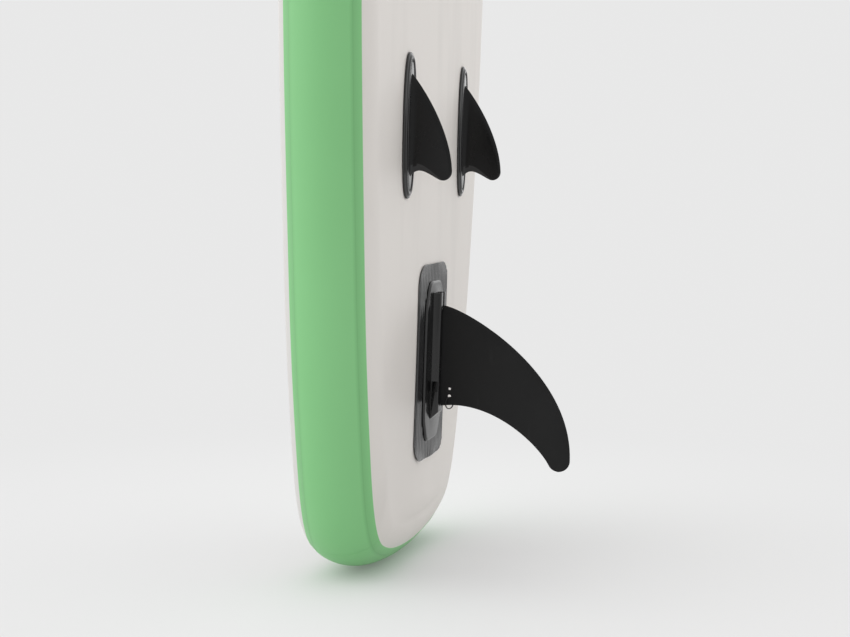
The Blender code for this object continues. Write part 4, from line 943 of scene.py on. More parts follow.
def blade(name, edges, tip_share, thickness, foil, front, base, matrix, rows, chord_steps):
    """A fin between two edges. foil gives the share of the full thickness along the chord."""
    leading, trailing = edges
    shares = (1 - np.cos(np.linspace(0, math.pi, chord_steps))) / 2
    tip = tip_share + (1 - tip_share) * np.sin(np.linspace(0, math.pi / 2, TIP_ROWS))
    spread = np.concatenate([np.linspace(0, tip_share, rows - TIP_ROWS + 1)[:-1], tip])
    loops = []
    for t in spread:
        lead, trail = leading(t), trailing(t)
        half = thickness(t) / 2
        right, left = [], []
        for share, part in zip(shares, foil(shares)):
            aft = lead[0] + (trail[0] - lead[0]) * share
            depth = lead[1] + (trail[1] - lead[1]) * share
            right.append((half * part, front - aft, base + depth))
            left.append((-half * part, front - aft, base + depth))
        loops.append(right + left[::-1])
    mesh = loft_mesh(name, loops, MOULD_ANGLE)
    mesh.transform(matrix)
    return mesh


# %% Centre fin
CHORD, DEPTH, TIP_AFT, TIP_RADIUS = 0.1663, 0.2195, 0.2428, 0.0186
ROOT_FRONT, CHANNEL_TOP = 0.0915, 0.0165
FIN_BASE = CHANNEL_TOP + 0.0003
NECK, FOOT_WIDTH, FOOT_HEIGHT, FOOT_LOW = 0.0070, 0.0180, 0.0050, 0.0048
CENTER_TIP_SHARE = 0.86
ROOT_THICKNESS, TIP_THICKNESS = 0.0085, 0.0036
HOLES = ((0.1371, 0.0023), (0.1494, 0.0028))
HOLE_DEPTH = 0.0147
NOTCH_AFT, NOTCH_HALF, NOTCH_INNER = 0.133, 0.008, -0.0052
tip_centre = (TIP_AFT, DEPTH - TIP_RADIUS)
center_leading = swept_edge(
    (0.0, 0.0), ((0.0, 0.137 * DEPTH), (0.379 * TIP_AFT, DEPTH)),
    tip_centre, TIP_RADIUS, 90, 2, CENTER_TIP_SHARE,
)
center_trailing = swept_edge(
    (CHORD, 0.0), ((0.900 * CHORD, 0.395 * DEPTH), (0.904 * TIP_AFT, 0.757 * DEPTH)),
    tip_centre, TIP_RADIUS, -62, -8, CENTER_TIP_SHARE,
)
fin_foil = smooth_curve([
    (0.0, 0.06), (0.012, 0.30), (0.05, 0.62), (0.16, 0.92), (0.32, 1.0), (0.6, 0.84), (0.85, 0.44),
    (1.0, 0.14),
])


def center_thickness(t):
    return ROOT_THICKNESS + (TIP_THICKNESS - ROOT_THICKNESS) * t**0.8


mesh = blade(
    "center_fin_blade", (center_leading, center_trailing), CENTER_TIP_SHARE, center_thickness, fin_foil,
    ROOT_FRONT, FIN_BASE, fin_frame, 56, 22,
)
center_fin = object_of("center_fin_blade", mesh, FIN_BLACK)
root_rear, root_front = ROOT_FRONT - CHORD + 0.003, ROOT_FRONT - 0.006
neck = box_mesh("neck", (-NECK / 2, root_rear, FOOT_LOW), (NECK / 2, root_front, FIN_BASE + 0.0008))
foot_top = FOOT_LOW + FOOT_HEIGHT
foot = box_mesh("foot", (-FOOT_WIDTH / 2, root_rear, FOOT_LOW), (FOOT_WIDTH / 2, root_front, foot_top))
notch_y = ROOT_FRONT - NOTCH_AFT
cutters = [box_mesh(
    "notch", (-FOOT_WIDTH, notch_y - NOTCH_HALF, 0.0), (NOTCH_INNER, notch_y + NOTCH_HALF, FIN_BASE - 0.001)
)]
for tool in (neck, foot, *cutters):
    tool.transform(fin_frame)
for aft, hole_radius in HOLES:
    centre = Matrix.Translation((0.0, ROOT_FRONT - aft, FIN_BASE + HOLE_DEPTH))
    across = fin_frame @ centre @ Matrix.Rotation(math.pi / 2, 4, "Y")
    cutters.append(disc_mesh("hole", hole_radius, -0.02, 0.02, across, 32))
carved(center_fin, [neck, foot], "UNION")
carved(center_fin, cutters)
smooth(center_fin.data, MOULD_ANGLE)
stands_for(center_fin, "center_fin", "black_plastic", "center_fin")
print("centre fin", len(center_fin.data.polygons), "faces")

# %% [markdown]
# A split ring is a flat coil of two turns, threaded through the fin's lower hole.
# %% Split ring
RING_RADIUS, RING_WIRE, RING_TWIST = 0.0095, 0.0008, math.radians(-28.0)
RING_DROP, RING_STEPS, WIRE_FIT = 0.0019, 96, 0.98
hole_centre = fin_frame @ Vector((0.0, ROOT_FRONT - HOLES[1][0], FIN_BASE + HOLE_DEPTH))
coil = []
for i in range(RING_STEPS + 1):
    angle = 4 * math.pi * i / RING_STEPS
    offset = RING_WIRE * (i / RING_STEPS * 2 - 1)
    height = -RING_DROP - RING_RADIUS + RING_RADIUS * math.cos(angle)
    coil.append((RING_RADIUS * math.sin(angle), offset, height))
mesh = tube_mesh("fin_split_ring", coil, RING_WIRE * WIRE_FIT, 10)
turned = Matrix.Translation(hole_centre) @ Matrix.Rotation(RING_TWIST, 4, "Z")
placed("fin_split_ring", mesh, turned, BLACK_STEEL, "fin_ring", "black_steel", "fin_ring")

# %% [markdown]
# ## Side fins
# Each side fin has a soft oval base with a rounded rim. A lighter grey insert lies in the base's hollow, and
# the low, swept fin stands on it, with a bevel along its rear edge. The bevel's faces get a painted
# highlight, a lighter black.
# %% Side fins
SIDE_X, SIDE_Z = 0.171, 0.7103
BASE_HALF_WIDTH, BASE_HALF_LENGTH = 0.0280, 0.11175
BASE_WALL, BASE_FLOOR = 0.0130, 0.0025
SIDE_CHORD, SIDE_DEPTH, SIDE_TIP_RADIUS = 0.1570, 0.0667, 0.0142
SIDE_FRONT = 0.0795
SIDE_TIP_SHARE = 0.84
SIDE_THICKNESS, SIDE_FLARE, SIDE_FLARE_REACH = 0.0058, 0.006, 0.10
BEVEL_SHARE, BEVEL_EDGE, BEVEL_SIDEWAYS, BEVEL_AFT = 0.085, 0.18, 0.7, 0.10
side_tip = (SIDE_CHORD * 0.94, SIDE_DEPTH - SIDE_TIP_RADIUS)
side_leading = swept_edge(
    (0.0, 0.0), ((0.287 * SIDE_CHORD, 0.555 * SIDE_DEPTH), (0.637 * SIDE_CHORD, 0.952 * SIDE_DEPTH)),
    side_tip, SIDE_TIP_RADIUS, 100, 8, SIDE_TIP_SHARE,
)
side_trailing = swept_edge(
    (SIDE_CHORD, 0.0), ((0.884 * SIDE_CHORD, 0.190 * SIDE_DEPTH), (0.961 * SIDE_CHORD, 0.400 * SIDE_DEPTH)),
    side_tip, SIDE_TIP_RADIUS, -25, 2, SIDE_TIP_SHARE,
)
side_nose = smooth_curve([(0.0, 0.10), (0.02, 0.42), (0.08, 0.80), (0.2, 1.0), (1.0, 1.0)])


def side_foil(shares):
    """A rounded nose, flat sides, and a bevel along the rear edge."""
    bevel = np.maximum((1.0 - shares) / BEVEL_SHARE, 0.0) * (1 - BEVEL_EDGE) + BEVEL_EDGE
    return np.minimum(side_nose(shares), bevel)


def side_thickness(t):
    return SIDE_THICKNESS * (1 - 0.45 * t) + SIDE_FLARE * max(1 - t / SIDE_FLARE_REACH, 0.0) ** 2


def oval_loops(profile, half_width_m, half_length_m, steps=96, power=2.6):
    """Loops of a long oval for (inset, height) pairs."""
    angles = np.linspace(0, 2 * math.pi, steps, endpoint=False)
    c, s = np.cos(angles), np.sin(angles)
    loops = []
    for inset, height in profile:
        x = (half_width_m - inset) * np.sign(c) * np.abs(c) ** (2 / power)
        y = (half_length_m - inset) * np.sign(s) * np.abs(s) ** (2 / power)
        loops.append(np.stack([x, y, np.full(steps, height)], axis=1))
    return loops


rim_curve = smooth_curve([
    (0.0, 0.0024), (0.10, 0.0031), (0.25, 0.0038), (0.42, 0.0054), (0.58, 0.0060), (0.72, 0.0058),
    (0.86, 0.0045), (1.0, 0.0025),
])
INSERT_GAP, INSERT_RISE = 0.0012, 0.0024


def make_flange(label, place):
    shares = np.linspace(0.0, 1.0, 22)[1:]
    profile = [(0.0004, 0.0), (0.0, 0.0006), (0.0, 0.0018)]
    profile += [(BASE_WALL * share, float(rim_curve(share))) for share in shares]
    name = f"side_fin_flange_{label}"
    mesh = loft_mesh(name, oval_loops(profile, BASE_HALF_WIDTH, BASE_HALF_LENGTH), SOFT_ANGLE)
    placed(name, mesh, place, GLOSS_BLACK, "board", "black_rubber", f"side_fin_base_{label}")


def make_insert(label, place, low):
    inset = BASE_WALL + INSERT_GAP
    profile = [
        (inset, low), (inset, low + 0.0014), (inset + 0.0003, low + 0.0019), (inset + 0.0010, low + 0.0022),
        (inset + 0.0040, low + INSERT_RISE),
    ]
    name = f"side_fin_insert_{label}"
    mesh = loft_mesh(name, oval_loops(profile, BASE_HALF_WIDTH, BASE_HALF_LENGTH), SOFT_ANGLE)
    placed(name, mesh, place, INSERT_GREY, "board", "black_rubber")


def make_side_blade(label, place, low):
    """The blade. Its bevel faces are marked for a painted highlight, a lighter black that the finish draws
    there.
    """
    name = f"side_fin_blade_{label}"
    mesh = blade(
        name, (side_leading, side_trailing), SIDE_TIP_SHARE, side_thickness, side_foil,
        SIDE_FRONT, low + 0.0020, place, 44, 30,
    )
    across, ahead = place.col[0].to_3d(), place.col[1].to_3d()
    # Faces of the rear bevel, which get the painted highlight
    bevel = [
        abs(f.normal.dot(across)) > BEVEL_SIDEWAYS and f.normal.dot(ahead) < -BEVEL_AFT
        for f in mesh.polygons
    ]
    mesh.attributes.new("marked", "FLOAT", "FACE").data.foreach_set("value", [float(b) for b in bevel])
    return stands_for(object_of(name, mesh, SOFT_BLACK), "board", "black_rubber", f"side_fin_{label}")


for label, side in (("left", -1), ("right", 1)):
    place = seat_matrix(side * SIDE_X, SIDE_Z, False, 0.0005, BASE_HALF_WIDTH)
    make_flange(label, place)
    make_insert(label, place, BASE_FLOOR + 0.0003)
    make_side_blade(label, place, BASE_FLOOR + 0.0003)
print("side fins stand")

# %% [markdown]
# ## Deck pad
# A foam pad is glued to the deck where the rider stands, with a window round the handle, a plain border and
# a tread of diamond tiles. The pad is a thin sheet with rounded corners, and the tread tree drops a
# staggered lattice of tiles onto it.
# %% Foam sheet
PAD_REAR, PAD_FRONT, PAD_HALF_WIDTH, PAD_MARGIN = 0.340, 2.150, 0.290, 0.105
PAD_LOW, PAD_TOP, PAD_CORNER = 0.0009, 0.0052, 0.060
PAD_ROWS, PAD_COLUMNS = 110, 33
HANDLE_Z = 1.580
WINDOW_HALF_WIDTH, WINDOW_HALF_LENGTH = 0.065, 0.210
WINDOW_CUT, WINDOW_SQUARENESS = (0.02, 0.12), 5.0


def pad_half_width(z, margin):
    """The pad follows the outline, and its ends are rounded."""
    ends = np.minimum(z - PAD_REAR - margin, PAD_FRONT - margin - z)
    past = np.maximum(PAD_CORNER - ends, 0.0)
    rounding = PAD_CORNER - np.sqrt(np.maximum(PAD_CORNER**2 - past**2, 0.0))
    return np.minimum(PAD_HALF_WIDTH, half_width(z) - PAD_MARGIN) - margin - rounding


def pad_grid(height, margin=0.0):
    low, high = PAD_REAR + margin, PAD_FRONT - margin
    turn = PAD_CORNER * (1 - np.cos(np.linspace(0, math.pi / 2, 9)))
    middle = np.linspace(low + PAD_CORNER, high - PAD_CORNER, PAD_ROWS)[1:-1]
    z = np.concatenate([low + turn, middle, (high - turn)[::-1]])
    x = pad_half_width(z, margin)[:, None] * np.linspace(-1, 1, PAD_COLUMNS)[None, :]
    z = np.repeat(z[:, None], PAD_COLUMNS, axis=1)
    return np.stack([x, flat_y(x, z, True) + height, z], axis=2)


def window_mesh(margin):
    """A rounded hole through the pad, round the carry handle."""
    half_w, half_l = WINDOW_HALF_WIDTH + margin, WINDOW_HALF_LENGTH + margin
    loops = []
    for y in WINDOW_CUT:
        flat = oval_loops([(0.0, y)], half_w, half_l, 72, WINDOW_SQUARENESS)[0]
        loops.append(np.stack([flat[:, 0], flat[:, 2], flat[:, 1] + HANDLE_Z], axis=1))
    return loft_mesh("window", loops)


pad = object_of("deck_pad_foam", sheet_mesh("deck_pad_foam", pad_grid(PAD_TOP), pad_grid(PAD_LOW)), PAD_FOAM)
carved(pad, [window_mesh(0.0)])
smooth(pad.data)
stands_for(pad, "board", "pad_foam", "deck_pad")
print("pad", len(pad.data.polygons), "faces")

# %% Diamond tread
TILE_HALF = (0.0205, 0.0110)
TILE_HEIGHT, TILE_SLOPE, TILE_STRETCH = 0.0013, 0.0012, 1.6
TILE_PITCH, BORDER, WINDOW_BORDER = (0.0450, 0.0122), 0.034, 0.022


def tile_mesh():
    """A low diamond with sloping sides, standing on Y = 0 and facing +Y."""
    loops = []
    for inset, height in ((0.0, -0.0006), (0.0, 0.0002), (TILE_SLOPE, TILE_HEIGHT)):
        x, z = TILE_HALF[0] - inset * TILE_STRETCH, TILE_HALF[1] - inset
        loops.append([(x, height, 0.0), (0.0, height, z), (-x, height, 0.0), (0.0, height, -z)])
    return loft_mesh("tile", loops)


tile = object_of("tread_tile_pattern", tile_mesh())
top, under = pad_grid(PAD_TOP, BORDER), pad_grid(PAD_TOP - 0.001, BORDER)
area = object_of("deck_pad_tread", sheet_mesh("tread_area", top, under))
carved(area, [window_mesh(WINDOW_BORDER)])
grown(area, TREAD, {
    "Tile": tile, "Pitch X": TILE_PITCH[0], "Pitch Z": TILE_PITCH[1], "Columns": 14, "Rows": 147,
    "Centre": (0.0, 0.0, (PAD_REAR + PAD_FRONT) / 2), "Finish": PAD_TREAD,
})
area.data.shade_flat()
bpy.data.objects.remove(tile, do_unlink=True)
stands_for(area, "board", "pad_foam")
print("tread", len(area.data.polygons), "faces")

# %% [markdown]
# ## Carry handle
# Two welded patches hold a webbing strap, with a box of stitches at each end, and a soft grip is wrapped
# round the middle. The strap is a ribbon along a smooth profile. Its stitches follow a path through the
# stitch tree.
# %% Handle patches
HANDLE_PATCH_SIZE, HANDLE_PATCH_CORNER, HANDLE_PATCH_AWAY = (0.110, 0.080), 0.025, 0.126


for label, way in (("rear", -1), ("front", 1)):
    name = f"handle_patch_{label}_sheet"
    centre = (0.0, HANDLE_Z + way * HANDLE_PATCH_AWAY)
    x, z = rounded_grid(centre, HANDLE_PATCH_SIZE, HANDLE_PATCH_CORNER, 25, 17, 8)
    grids = [np.stack([x, flat_y(x, z, True) + h, z], axis=2) for h in (SHEET_HIGH, SHEET_LOW)]
    sheet = bevelled(object_of(name, sheet_mesh(name, *grids), RIBBED_PVC), 0.0005)
    stands_for(sheet, "board", "grey_pvc", f"handle_patch_{label}")

# %% Strap and grip
HANDLE_HALF, HANDLE_RISE, GRIP_HALF = 0.150, 0.044, 0.0625
WEBBING_HALF, WEBBING_THICKNESS = 0.019, 0.0028
GRIP_OVER, GRIP_HALF_HEIGHT, FLAT_FOOT = 0.004, 0.0140, 0.040
PATCH_TOP = 0.0021
STRAP_STEPS, GRIP_SIDES = 28, 48
FOOT_EASE, GRIP_TUCK = 0.012, 0.006
STRAP_LOW = PATCH_TOP + WEBBING_THICKNESS / 2
handle_frame = seat_matrix(0.0, HANDLE_Z, True, 0.0001, HANDLE_HALF)


def strap_profile():
    """Centre line of the webbing: flat feet, then an even rise to the grip."""
    foot, top = HANDLE_HALF - FLAT_FOOT, GRIP_HALF + GRIP_TUCK
    points = [(-HANDLE_HALF, STRAP_LOW), (-foot - FOOT_EASE, STRAP_LOW)]
    for t in np.linspace(0, 1, STRAP_STEPS):
        points.append((-foot + (foot - top) * t, STRAP_LOW + (HANDLE_RISE - STRAP_LOW) * t * t * (3 - 2 * t)))
    return points + [(-y, h) for y, h in reversed(points)]


def ribbon_loops(profile, half, thickness, edge=0.0006):
    """Loops of a flat strap with rounded edges, along a profile in the local YZ plane."""
    outline = [(-half, -0.3), (-half, 0.3), (edge - half, 0.5), (half - edge, 0.5)]
    outline += [(-x, -lift) for x, lift in outline]
    loops = []
    for i, (y, h) in enumerate(profile):
        before, after = profile[max(i - 1, 0)], profile[min(i + 1, len(profile) - 1)]
        along = Vector((after[0] - before[0], after[1] - before[1])).normalized()
        up = Vector((-along.y, along.x))
        loops.append([(x, y + up.x * lift * thickness, h + up.y * lift * thickness) for x, lift in outline])
    return loops


strap = ribbon_loops(strap_profile(), WEBBING_HALF, WEBBING_THICKNESS)
mesh = loft_mesh("handle_strap_webbing", strap, SOFT_ANGLE)
placed("handle_strap_webbing", mesh, handle_frame, WEBBING, "board", "black_webbing", "handle_strap")


def grip_loops():
    """The grip swells a little in the middle and is drawn in at both ends."""
    loops = []
    for s in np.linspace(-1, 1, 31):
        end = max(abs(s) - 0.90, 0.0) / 0.10
        scale = (1.0 - 0.05 * s * s) * math.sqrt(max(1 - end**2 * 0.45, 0.0))
        angles = [2 * math.pi * i / GRIP_SIDES for i in range(GRIP_SIDES)]
        wide, high = (WEBBING_HALF + GRIP_OVER) * scale, GRIP_HALF_HEIGHT * scale
        loops.append([(wide * math.cos(a), GRIP_HALF * s, HANDLE_RISE + high * math.sin(a)) for a in angles])
    return loops


mesh = loft_mesh("handle_grip_sleeve", grip_loops())
mesh.transform(handle_frame)
grip = bevelled(object_of("handle_grip_sleeve", mesh, SOFT_BLACK), 0.0012, 3, 45)
stands_for(grip, "board", "black_rubber", "handle_grip")


# %% Stitches
STITCH_SPACING, STITCH_LENGTH, THREAD_RADIUS = 0.0036, 0.0027, 0.00040
BOX_NEAR, BOX_FAR, BOX_MARGIN = 0.034, 0.006, 0.004


def path_object(name, paths):
    """Loose edges along several paths of points."""
    mesh = bpy.data.meshes.new(name)
    points, edges = [], []
    for path in paths:
        start = len(points)
        points += [tuple(p) for p in path]
        edges += [(start + i, start + i + 1) for i in range(len(path) - 1)]
    mesh.from_pydata(points, edges, [])
    return object_of(name, mesh)


def stitched(name, paths, matrix, body, slot):
    """Rows of thread along paths given in a local frame."""
    rows = path_object(name, [[matrix @ Vector(p) for p in path] for path in paths])
    grown(rows, STITCHES, {
        "Spacing": STITCH_SPACING, "Length": STITCH_LENGTH, "Thread": THREAD_RADIUS, "Finish": THREAD,
    })
    smooth(rows.data)
    return stands_for(rows, body, slot)


def stitch_box(half, near, far, top, crossed):
    """The paths of a box of stitches, with or without its crossed lines."""
    corners = [(-half, near, top), (half, near, top), (half, far, top), (-half, far, top)]
    paths = [[a, b] for a, b in zip(corners, corners[1:] + corners[:1])]
    return paths + ([[corners[0], corners[2]], [corners[1], corners[3]]] if crossed else [])


strap_top = STRAP_LOW + WEBBING_THICKNESS / 2 + 0.0001
boxes = []
for way in (-1, 1):
    near, far = way * (HANDLE_HALF - BOX_NEAR), way * (HANDLE_HALF - BOX_FAR)
    boxes += stitch_box(WEBBING_HALF - BOX_MARGIN, near, far, strap_top, True)
stitched("handle_stitches", boxes, handle_frame, "board", "black_webbing")
print("handle stitched")

# %% [markdown]
# ## D-rings
# Six steel D-rings hang from webbing tabs on round patches: one at the tail for the leash, one at the nose
# for towing, and four on the front deck for a luggage cord. Each ring rides on its own body, so that it can
# swing.
# %% D-rings, tabs and patches
RINGS = {
    "tail": (0.0, 0.150), "nose": (0.0, 2.990),
    "deck_rear_left": (-0.230, 2.300), "deck_rear_right": (0.230, 2.300),
    "deck_front_left": (-0.190, 2.640), "deck_front_right": (0.190, 2.640),
}
RING_PATCH_RADIUS, RING_PATCH_SHIFT, RING_LIFT, RING_LIFT_FACTOR = 0.040, 0.006, 0.0006, 3.0
D_WIRE, D_HALF, D_REACH, D_CORNER = 0.0025, 0.0165, 0.030, 0.004
TAB_HALF, TAB_LENGTH, TAB_WEBBING = 0.0105, 0.022, 0.0014
TAB_GAP, TAB_DROP = 0.0004, 0.0095
TAB_MARGIN, TAB_STITCH_START = 0.0025, 0.0105
BAR_HEIGHT = PATCH_TOP + TAB_WEBBING + TAB_GAP + D_WIRE


def ring_path():
    """A D in the local XZ plane: a straight bar through the origin, and a bow that hangs below it."""
    path = [((D_HALF - D_CORNER) * s, 0.0, 0.0) for s in np.linspace(-1, 1, 7)]
    for angle in np.linspace(80, 0, 7):
        a = math.radians(angle)
        path.append((D_HALF - D_CORNER + D_CORNER * math.cos(a), 0.0, -D_CORNER + D_CORNER * math.sin(a)))
    for a in np.linspace(0, math.pi, 33):
        path.append((D_HALF * math.cos(a), 0.0, D_HALF - D_REACH - D_HALF * math.sin(a)))
    for angle in np.linspace(180, 100, 7):
        a = math.radians(angle)
        path.append((-D_HALF + D_CORNER + D_CORNER * math.cos(a), 0.0, -D_CORNER + D_CORNER * math.sin(a)))
    return path


def tab_mesh(name):
    """The tab as a solid strip: an outline in the YZ plane, swept across its width with rounded edges."""
    low = BAR_HEIGHT - D_WIRE - TAB_GAP - TAB_WEBBING
    centre = []
    radius = D_WIRE + TAB_GAP + TAB_WEBBING / 2
    for y in np.linspace(TAB_LENGTH, 0.0, 10):
        centre.append((y, low + TAB_WEBBING / 2))
    for a in np.linspace(-math.pi / 2, -math.pi * 1.5, 20)[1:]:
        centre.append((radius * math.cos(a), BAR_HEIGHT + radius * math.sin(a)))
    start = centre[-1]
    for t in np.linspace(0, 1, 10)[1:]:
        ease = t * t * (3 - 2 * t)
        centre.append((start[0] + TAB_DROP * t, start[1] + (low + TAB_WEBBING * 1.5 - start[1]) * ease))
    centre.append((TAB_LENGTH, low + TAB_WEBBING * 1.5))
    return loft_mesh(name, ribbon_loops(centre, TAB_HALF, TAB_WEBBING * 0.98, 0.0004), math.radians(60))


tab_top = BAR_HEIGHT - D_WIRE - TAB_GAP + TAB_WEBBING + 0.0001


def make_ring_patch(label, place, rise):
    """A round patch, thick enough to reach the deck where the deck falls away under it."""
    name = f"ring_patch_{label}_disc"
    profile = [
        (RING_PATCH_RADIUS, -rise * RING_LIFT_FACTOR - 0.0004), (RING_PATCH_RADIUS, 0.0011),
        (RING_PATCH_RADIUS - 0.0006, 0.0017), (RING_PATCH_RADIUS - 0.0030, SHEET_HIGH),
    ]
    mesh = loft_mesh(name, turned_loops(profile, 72), MOULD_ANGLE)
    shifted = place @ Matrix.Translation((0.0, RING_PATCH_SHIFT, 0.0))
    placed(name, mesh, shifted, RIBBED_PVC, "board", "grey_pvc", f"ring_patch_{label}")


def make_ring_tab(label, place):
    name = f"ring_tab_{label}_webbing"
    placed(name, tab_mesh(name), place, WEBBING, "board", "black_webbing", f"ring_tab_{label}")
    rows = stitch_box(TAB_HALF - TAB_MARGIN, TAB_STITCH_START, TAB_LENGTH - 0.003, tab_top, False)
    stitched(f"ring_stitches_{label}", rows, place, "board", "black_webbing")


def make_ring(label, place):
    """The ring hangs straight down, or leans on the deck where the deck slopes outwards."""
    name = f"d_ring_{label}_steel"
    bar = place @ Vector((0.0, 0.0, BAR_HEIGHT))
    lean = math.atan2(place.col[1].y, place.col[1].z)
    mesh = tube_mesh(name, ring_path(), D_WIRE * WIRE_FIT, 14, closed=True)
    hung = Matrix.Translation(bar) @ Matrix.Rotation(-min(lean, 0.0), 4, "X")
    placed(name, mesh, hung, STEEL, f"d_ring_{label}", "steel", f"d_ring_{label}")


for label, (x, z) in RINGS.items():
    ends = [float(flat_y(x, z + way * RING_PATCH_RADIUS, True)) for way in (1, -1)]
    rise = max(sum(ends) / 2 - float(flat_y(x, z, True)), 0.0)
    place = seat_matrix(x, z, True, rise * RING_LIFT_FACTOR + RING_LIFT, RING_PATCH_RADIUS)
    make_ring_patch(label, place, rise)
    make_ring_tab(label, place)
    make_ring(label, place)
print("six D-rings hang")

# %% [markdown]
# ## Inflation valve
# The valve is clamped through the deck. Its small moulded pieces keep the CAD shapes with rounded edges, and
# the cap gets grip ribs round its rim. The inner pieces show when the cap is lifted.
# %% Valve pieces
for name, cad, material, body, slot, width in (
    ("valve_body_moulding", "valve_body", VALVE_GREY, "board", "grey_plastic", 0.0004),
    ("valve_gasket_ring", "valve_gasket", SOFT_BLACK, "board", "black_rubber", 0.0002),
    ("valve_guide_spider", "valve_guide", VALVE_GREY, "board", "grey_plastic", 0.0003),
    ("valve_poppet_stem", "valve_poppet", INSERT_GREY, "valve_poppet", "grey_plastic", 0.0003),
    ("valve_tether_strap", "valve_tether", SOFT_BLACK, "board", "black_rubber", 0.0004),
):
    moulded(name, cad, material, body, slot, width)
for cad, material in (
    ("valve_nut", VALVE_GREY), ("valve_seal", SOFT_BLACK), ("valve_spring", STEEL),
    ("valve_cap_seal", SOFT_BLACK),
):
    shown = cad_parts[cad]
    shown.data.materials.clear()
    shown.data.materials.append(material)

# %% Valve cap
CAP_TOP, CAP_DISH = 0.0107, 0.0010
WING_AWAY, WING_HALF, WING_HALF_LENGTH, WING_RISE = 0.012, 0.0015, 0.0088, 0.0048
cap_profile = [
    (0.0161, -0.0014), (0.0169, -0.0006), (0.0169, 0.0072), (0.0236, 0.0072), (0.0240, 0.0076),
    (0.0240, 0.0098), (0.0234, CAP_TOP - 0.0003), (0.0226, CAP_TOP), (0.0175, CAP_TOP),
    (0.0165, CAP_TOP - CAP_DISH), (0.0040, CAP_TOP - CAP_DISH),
]
mesh = loft_mesh("valve_cap_moulding", turned_loops(cap_profile, 72), math.radians(25))
cap = object_of("valve_cap_moulding", mesh, VALVE_GREY)
wings = []
for way in (-1, 1):
    low = (way * WING_AWAY - WING_HALF, -WING_HALF_LENGTH, CAP_TOP - 0.0018)
    high = (way * WING_AWAY + WING_HALF, WING_HALF_LENGTH, CAP_TOP + WING_RISE)
    wing = object_of("wing", box_mesh("wing", low, high))
    bevelled(wing, 0.0010, 3)
    wings.append(wing.data)
    bpy.data.objects.remove(wing, do_unlink=True)
carved(cap, wings, "UNION")
grown(cap, CAP_RIBS, {
    "Count": 40, "Radius": 0.0238, "Rib": 0.00055, "Height": 0.0022, "Level": 0.0088, "Finish": VALVE_GREY,
})
smooth(cap.data, math.radians(30))
cap.data.transform(valve_frame)
stands_for(cap, "valve_cap", "grey_plastic", "valve_cap")
print("valve cap", len(cap.data.polygons), "faces")

# %% [markdown]
# ## Stage, camera and light
# The board stands on a plain pale floor under soft studio light. The key is a broad sun from the deck's
# side, and a weaker one fills from the bottom's side. The sky is darker behind the camera, so the black
# plastics stay deep. The floor is partly a painted glow: with distance from the board it turns into an
# emission of the backdrop's colour, and a small share of that glow stays beside the board and lightens
# the board's cast shadow.
# %% Floor and sky
FLOOR_COLOR, BACKDROP = 0.72, 0.81
FLOOR_HALF, FLOOR_NEAR, FLOOR_FAR, FLOOR_GLOW = 60.0, 0.05, 1.5, 0.12
SHADE_SIDE, SKY_BRIGHT, SKY_DARK = (-0.80, -0.60, 0.0), 1.30, 0.50


def grey(level):
    return (level, level, level, 1.0)


floor_finish = bpy.data.materials.new("studio_floor")
floor_finish.use_nodes = True
floor_tree = floor_finish.node_tree
floor_shader = floor_tree.nodes["Principled BSDF"]
floor_shader.inputs["Base Color"].default_value = grey(FLOOR_COLOR)
floor_shader.inputs["Roughness"].default_value = 0.9
floor_shader.inputs["Specular IOR Level"].default_value = 0.1
ground = node(floor_tree, "ShaderNodeTexCoord").outputs["Object"]
away = node(floor_tree, "ShaderNodeVectorMath", {0: ground}, operation="LENGTH").outputs["Value"]
# Painted glow: the share of backdrop-coloured emission. It is FLOOR_GLOW beside the board, where it lightens
# the cast shadow, and rises to all of it far away.
share = node(floor_tree, "ShaderNodeMapRange", {
    "Value": away, "From Min": FLOOR_NEAR, "From Max": FLOOR_FAR, "To Min": FLOOR_GLOW,
}, interpolation_type="SMOOTHSTEP").outputs[0]
backdrop_glow = node(floor_tree, "ShaderNodeEmission", {"Color": grey(BACKDROP)})
mixed_floor = node(floor_tree, "ShaderNodeMixShader", {
    0: share, 1: floor_shader.outputs[0], 2: backdrop_glow.outputs[0],
})
floor_tree.links.new(mixed_floor.outputs[0], floor_tree.nodes["Material Output"].inputs["Surface"])
corners = [(x * FLOOR_HALF, y * FLOOR_HALF, 0.0) for x, y in ((-1, -1), (1, -1), (1, 1), (-1, 1))]
floor_mesh = bpy.data.meshes.new("studio_floor")
floor_mesh.from_pydata(corners, [], [(0, 1, 2, 3)])
floor = object_of("studio_floor", floor_mesh, floor_finish)

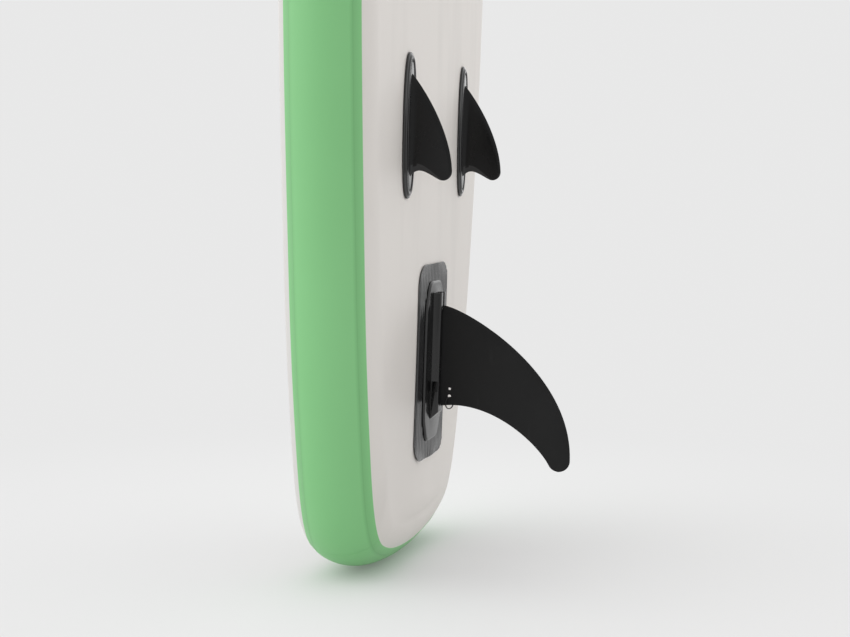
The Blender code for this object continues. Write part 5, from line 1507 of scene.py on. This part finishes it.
world = bpy.data.worlds.new("studio")
bpy.context.scene.world = world
world.use_nodes = True
sky_tree = world.node_tree
sky_tree.nodes.clear()
seen = node(sky_tree, "ShaderNodeBackground", {0: grey(BACKDROP), 1: 1.0})
towards = node(sky_tree, "ShaderNodeTexCoord").outputs["Generated"]
shaded = node(sky_tree, "ShaderNodeVectorMath", {
    0: towards, 1: SHADE_SIDE,
}, operation="DOT_PRODUCT").outputs["Value"]
strength = node(sky_tree, "ShaderNodeMapRange", {
    "Value": shaded, "From Min": -0.2, "From Max": 0.9, "To Min": SKY_BRIGHT, "To Max": SKY_DARK,
}, interpolation_type="SMOOTHSTEP").outputs[0]
light = node(sky_tree, "ShaderNodeBackground", {0: (1.0, 1.0, 1.0, 1.0), 1: strength})
path = node(sky_tree, "ShaderNodeLightPath")
mixed = node(sky_tree, "ShaderNodeMixShader", {
    0: path.outputs["Is Camera Ray"], 1: light.outputs[0], 2: seen.outputs[0],
})
node(sky_tree, "ShaderNodeOutputWorld", {0: mixed.outputs[0]})


# %% Lights
def sun(name, towards, strength, spread):
    """A sun that shines from a direction, with a spread in degrees."""
    lamp = bpy.data.lights.new(name, "SUN")
    lamp.energy = strength
    lamp.angle = math.radians(spread)
    holder = bpy.data.objects.new(name, lamp)
    bpy.context.scene.collection.objects.link(holder)
    holder.rotation_euler = Vector(towards).to_track_quat("Z", "Y").to_euler()
    return holder


sun("key_light", (-0.60, 0.75, 0.45), 0.95, 75)
sun("fill_light", (-0.6, -0.9, 0.5), 0.35, 90)

# %% Camera
CAMERA_PLACE = (-2.6104, -0.7762, 0.6362)
CAMERA_AZIMUTH, CAMERA_DOWN, CAMERA_ROLL = -75.073, 5.008, 0.477
LENS = 69.63
lens = bpy.data.cameras.new("camera")
lens.sensor_width, lens.lens = 36.0, LENS
lens.clip_start, lens.clip_end = 0.05, 200.0
camera = bpy.data.objects.new("camera", lens)
bpy.context.scene.collection.objects.link(camera)
heading = Matrix.Rotation(math.radians(CAMERA_AZIMUTH), 4, "Z")
pitch = Matrix.Rotation(math.radians(90 - CAMERA_DOWN), 4, "X")
roll = Matrix.Rotation(math.radians(CAMERA_ROLL), 4, "Z")
camera.matrix_world = Matrix.Translation(CAMERA_PLACE) @ heading @ pitch @ roll
bpy.context.scene.camera = camera
bpy.context.scene.view_settings.view_transform = "Standard"
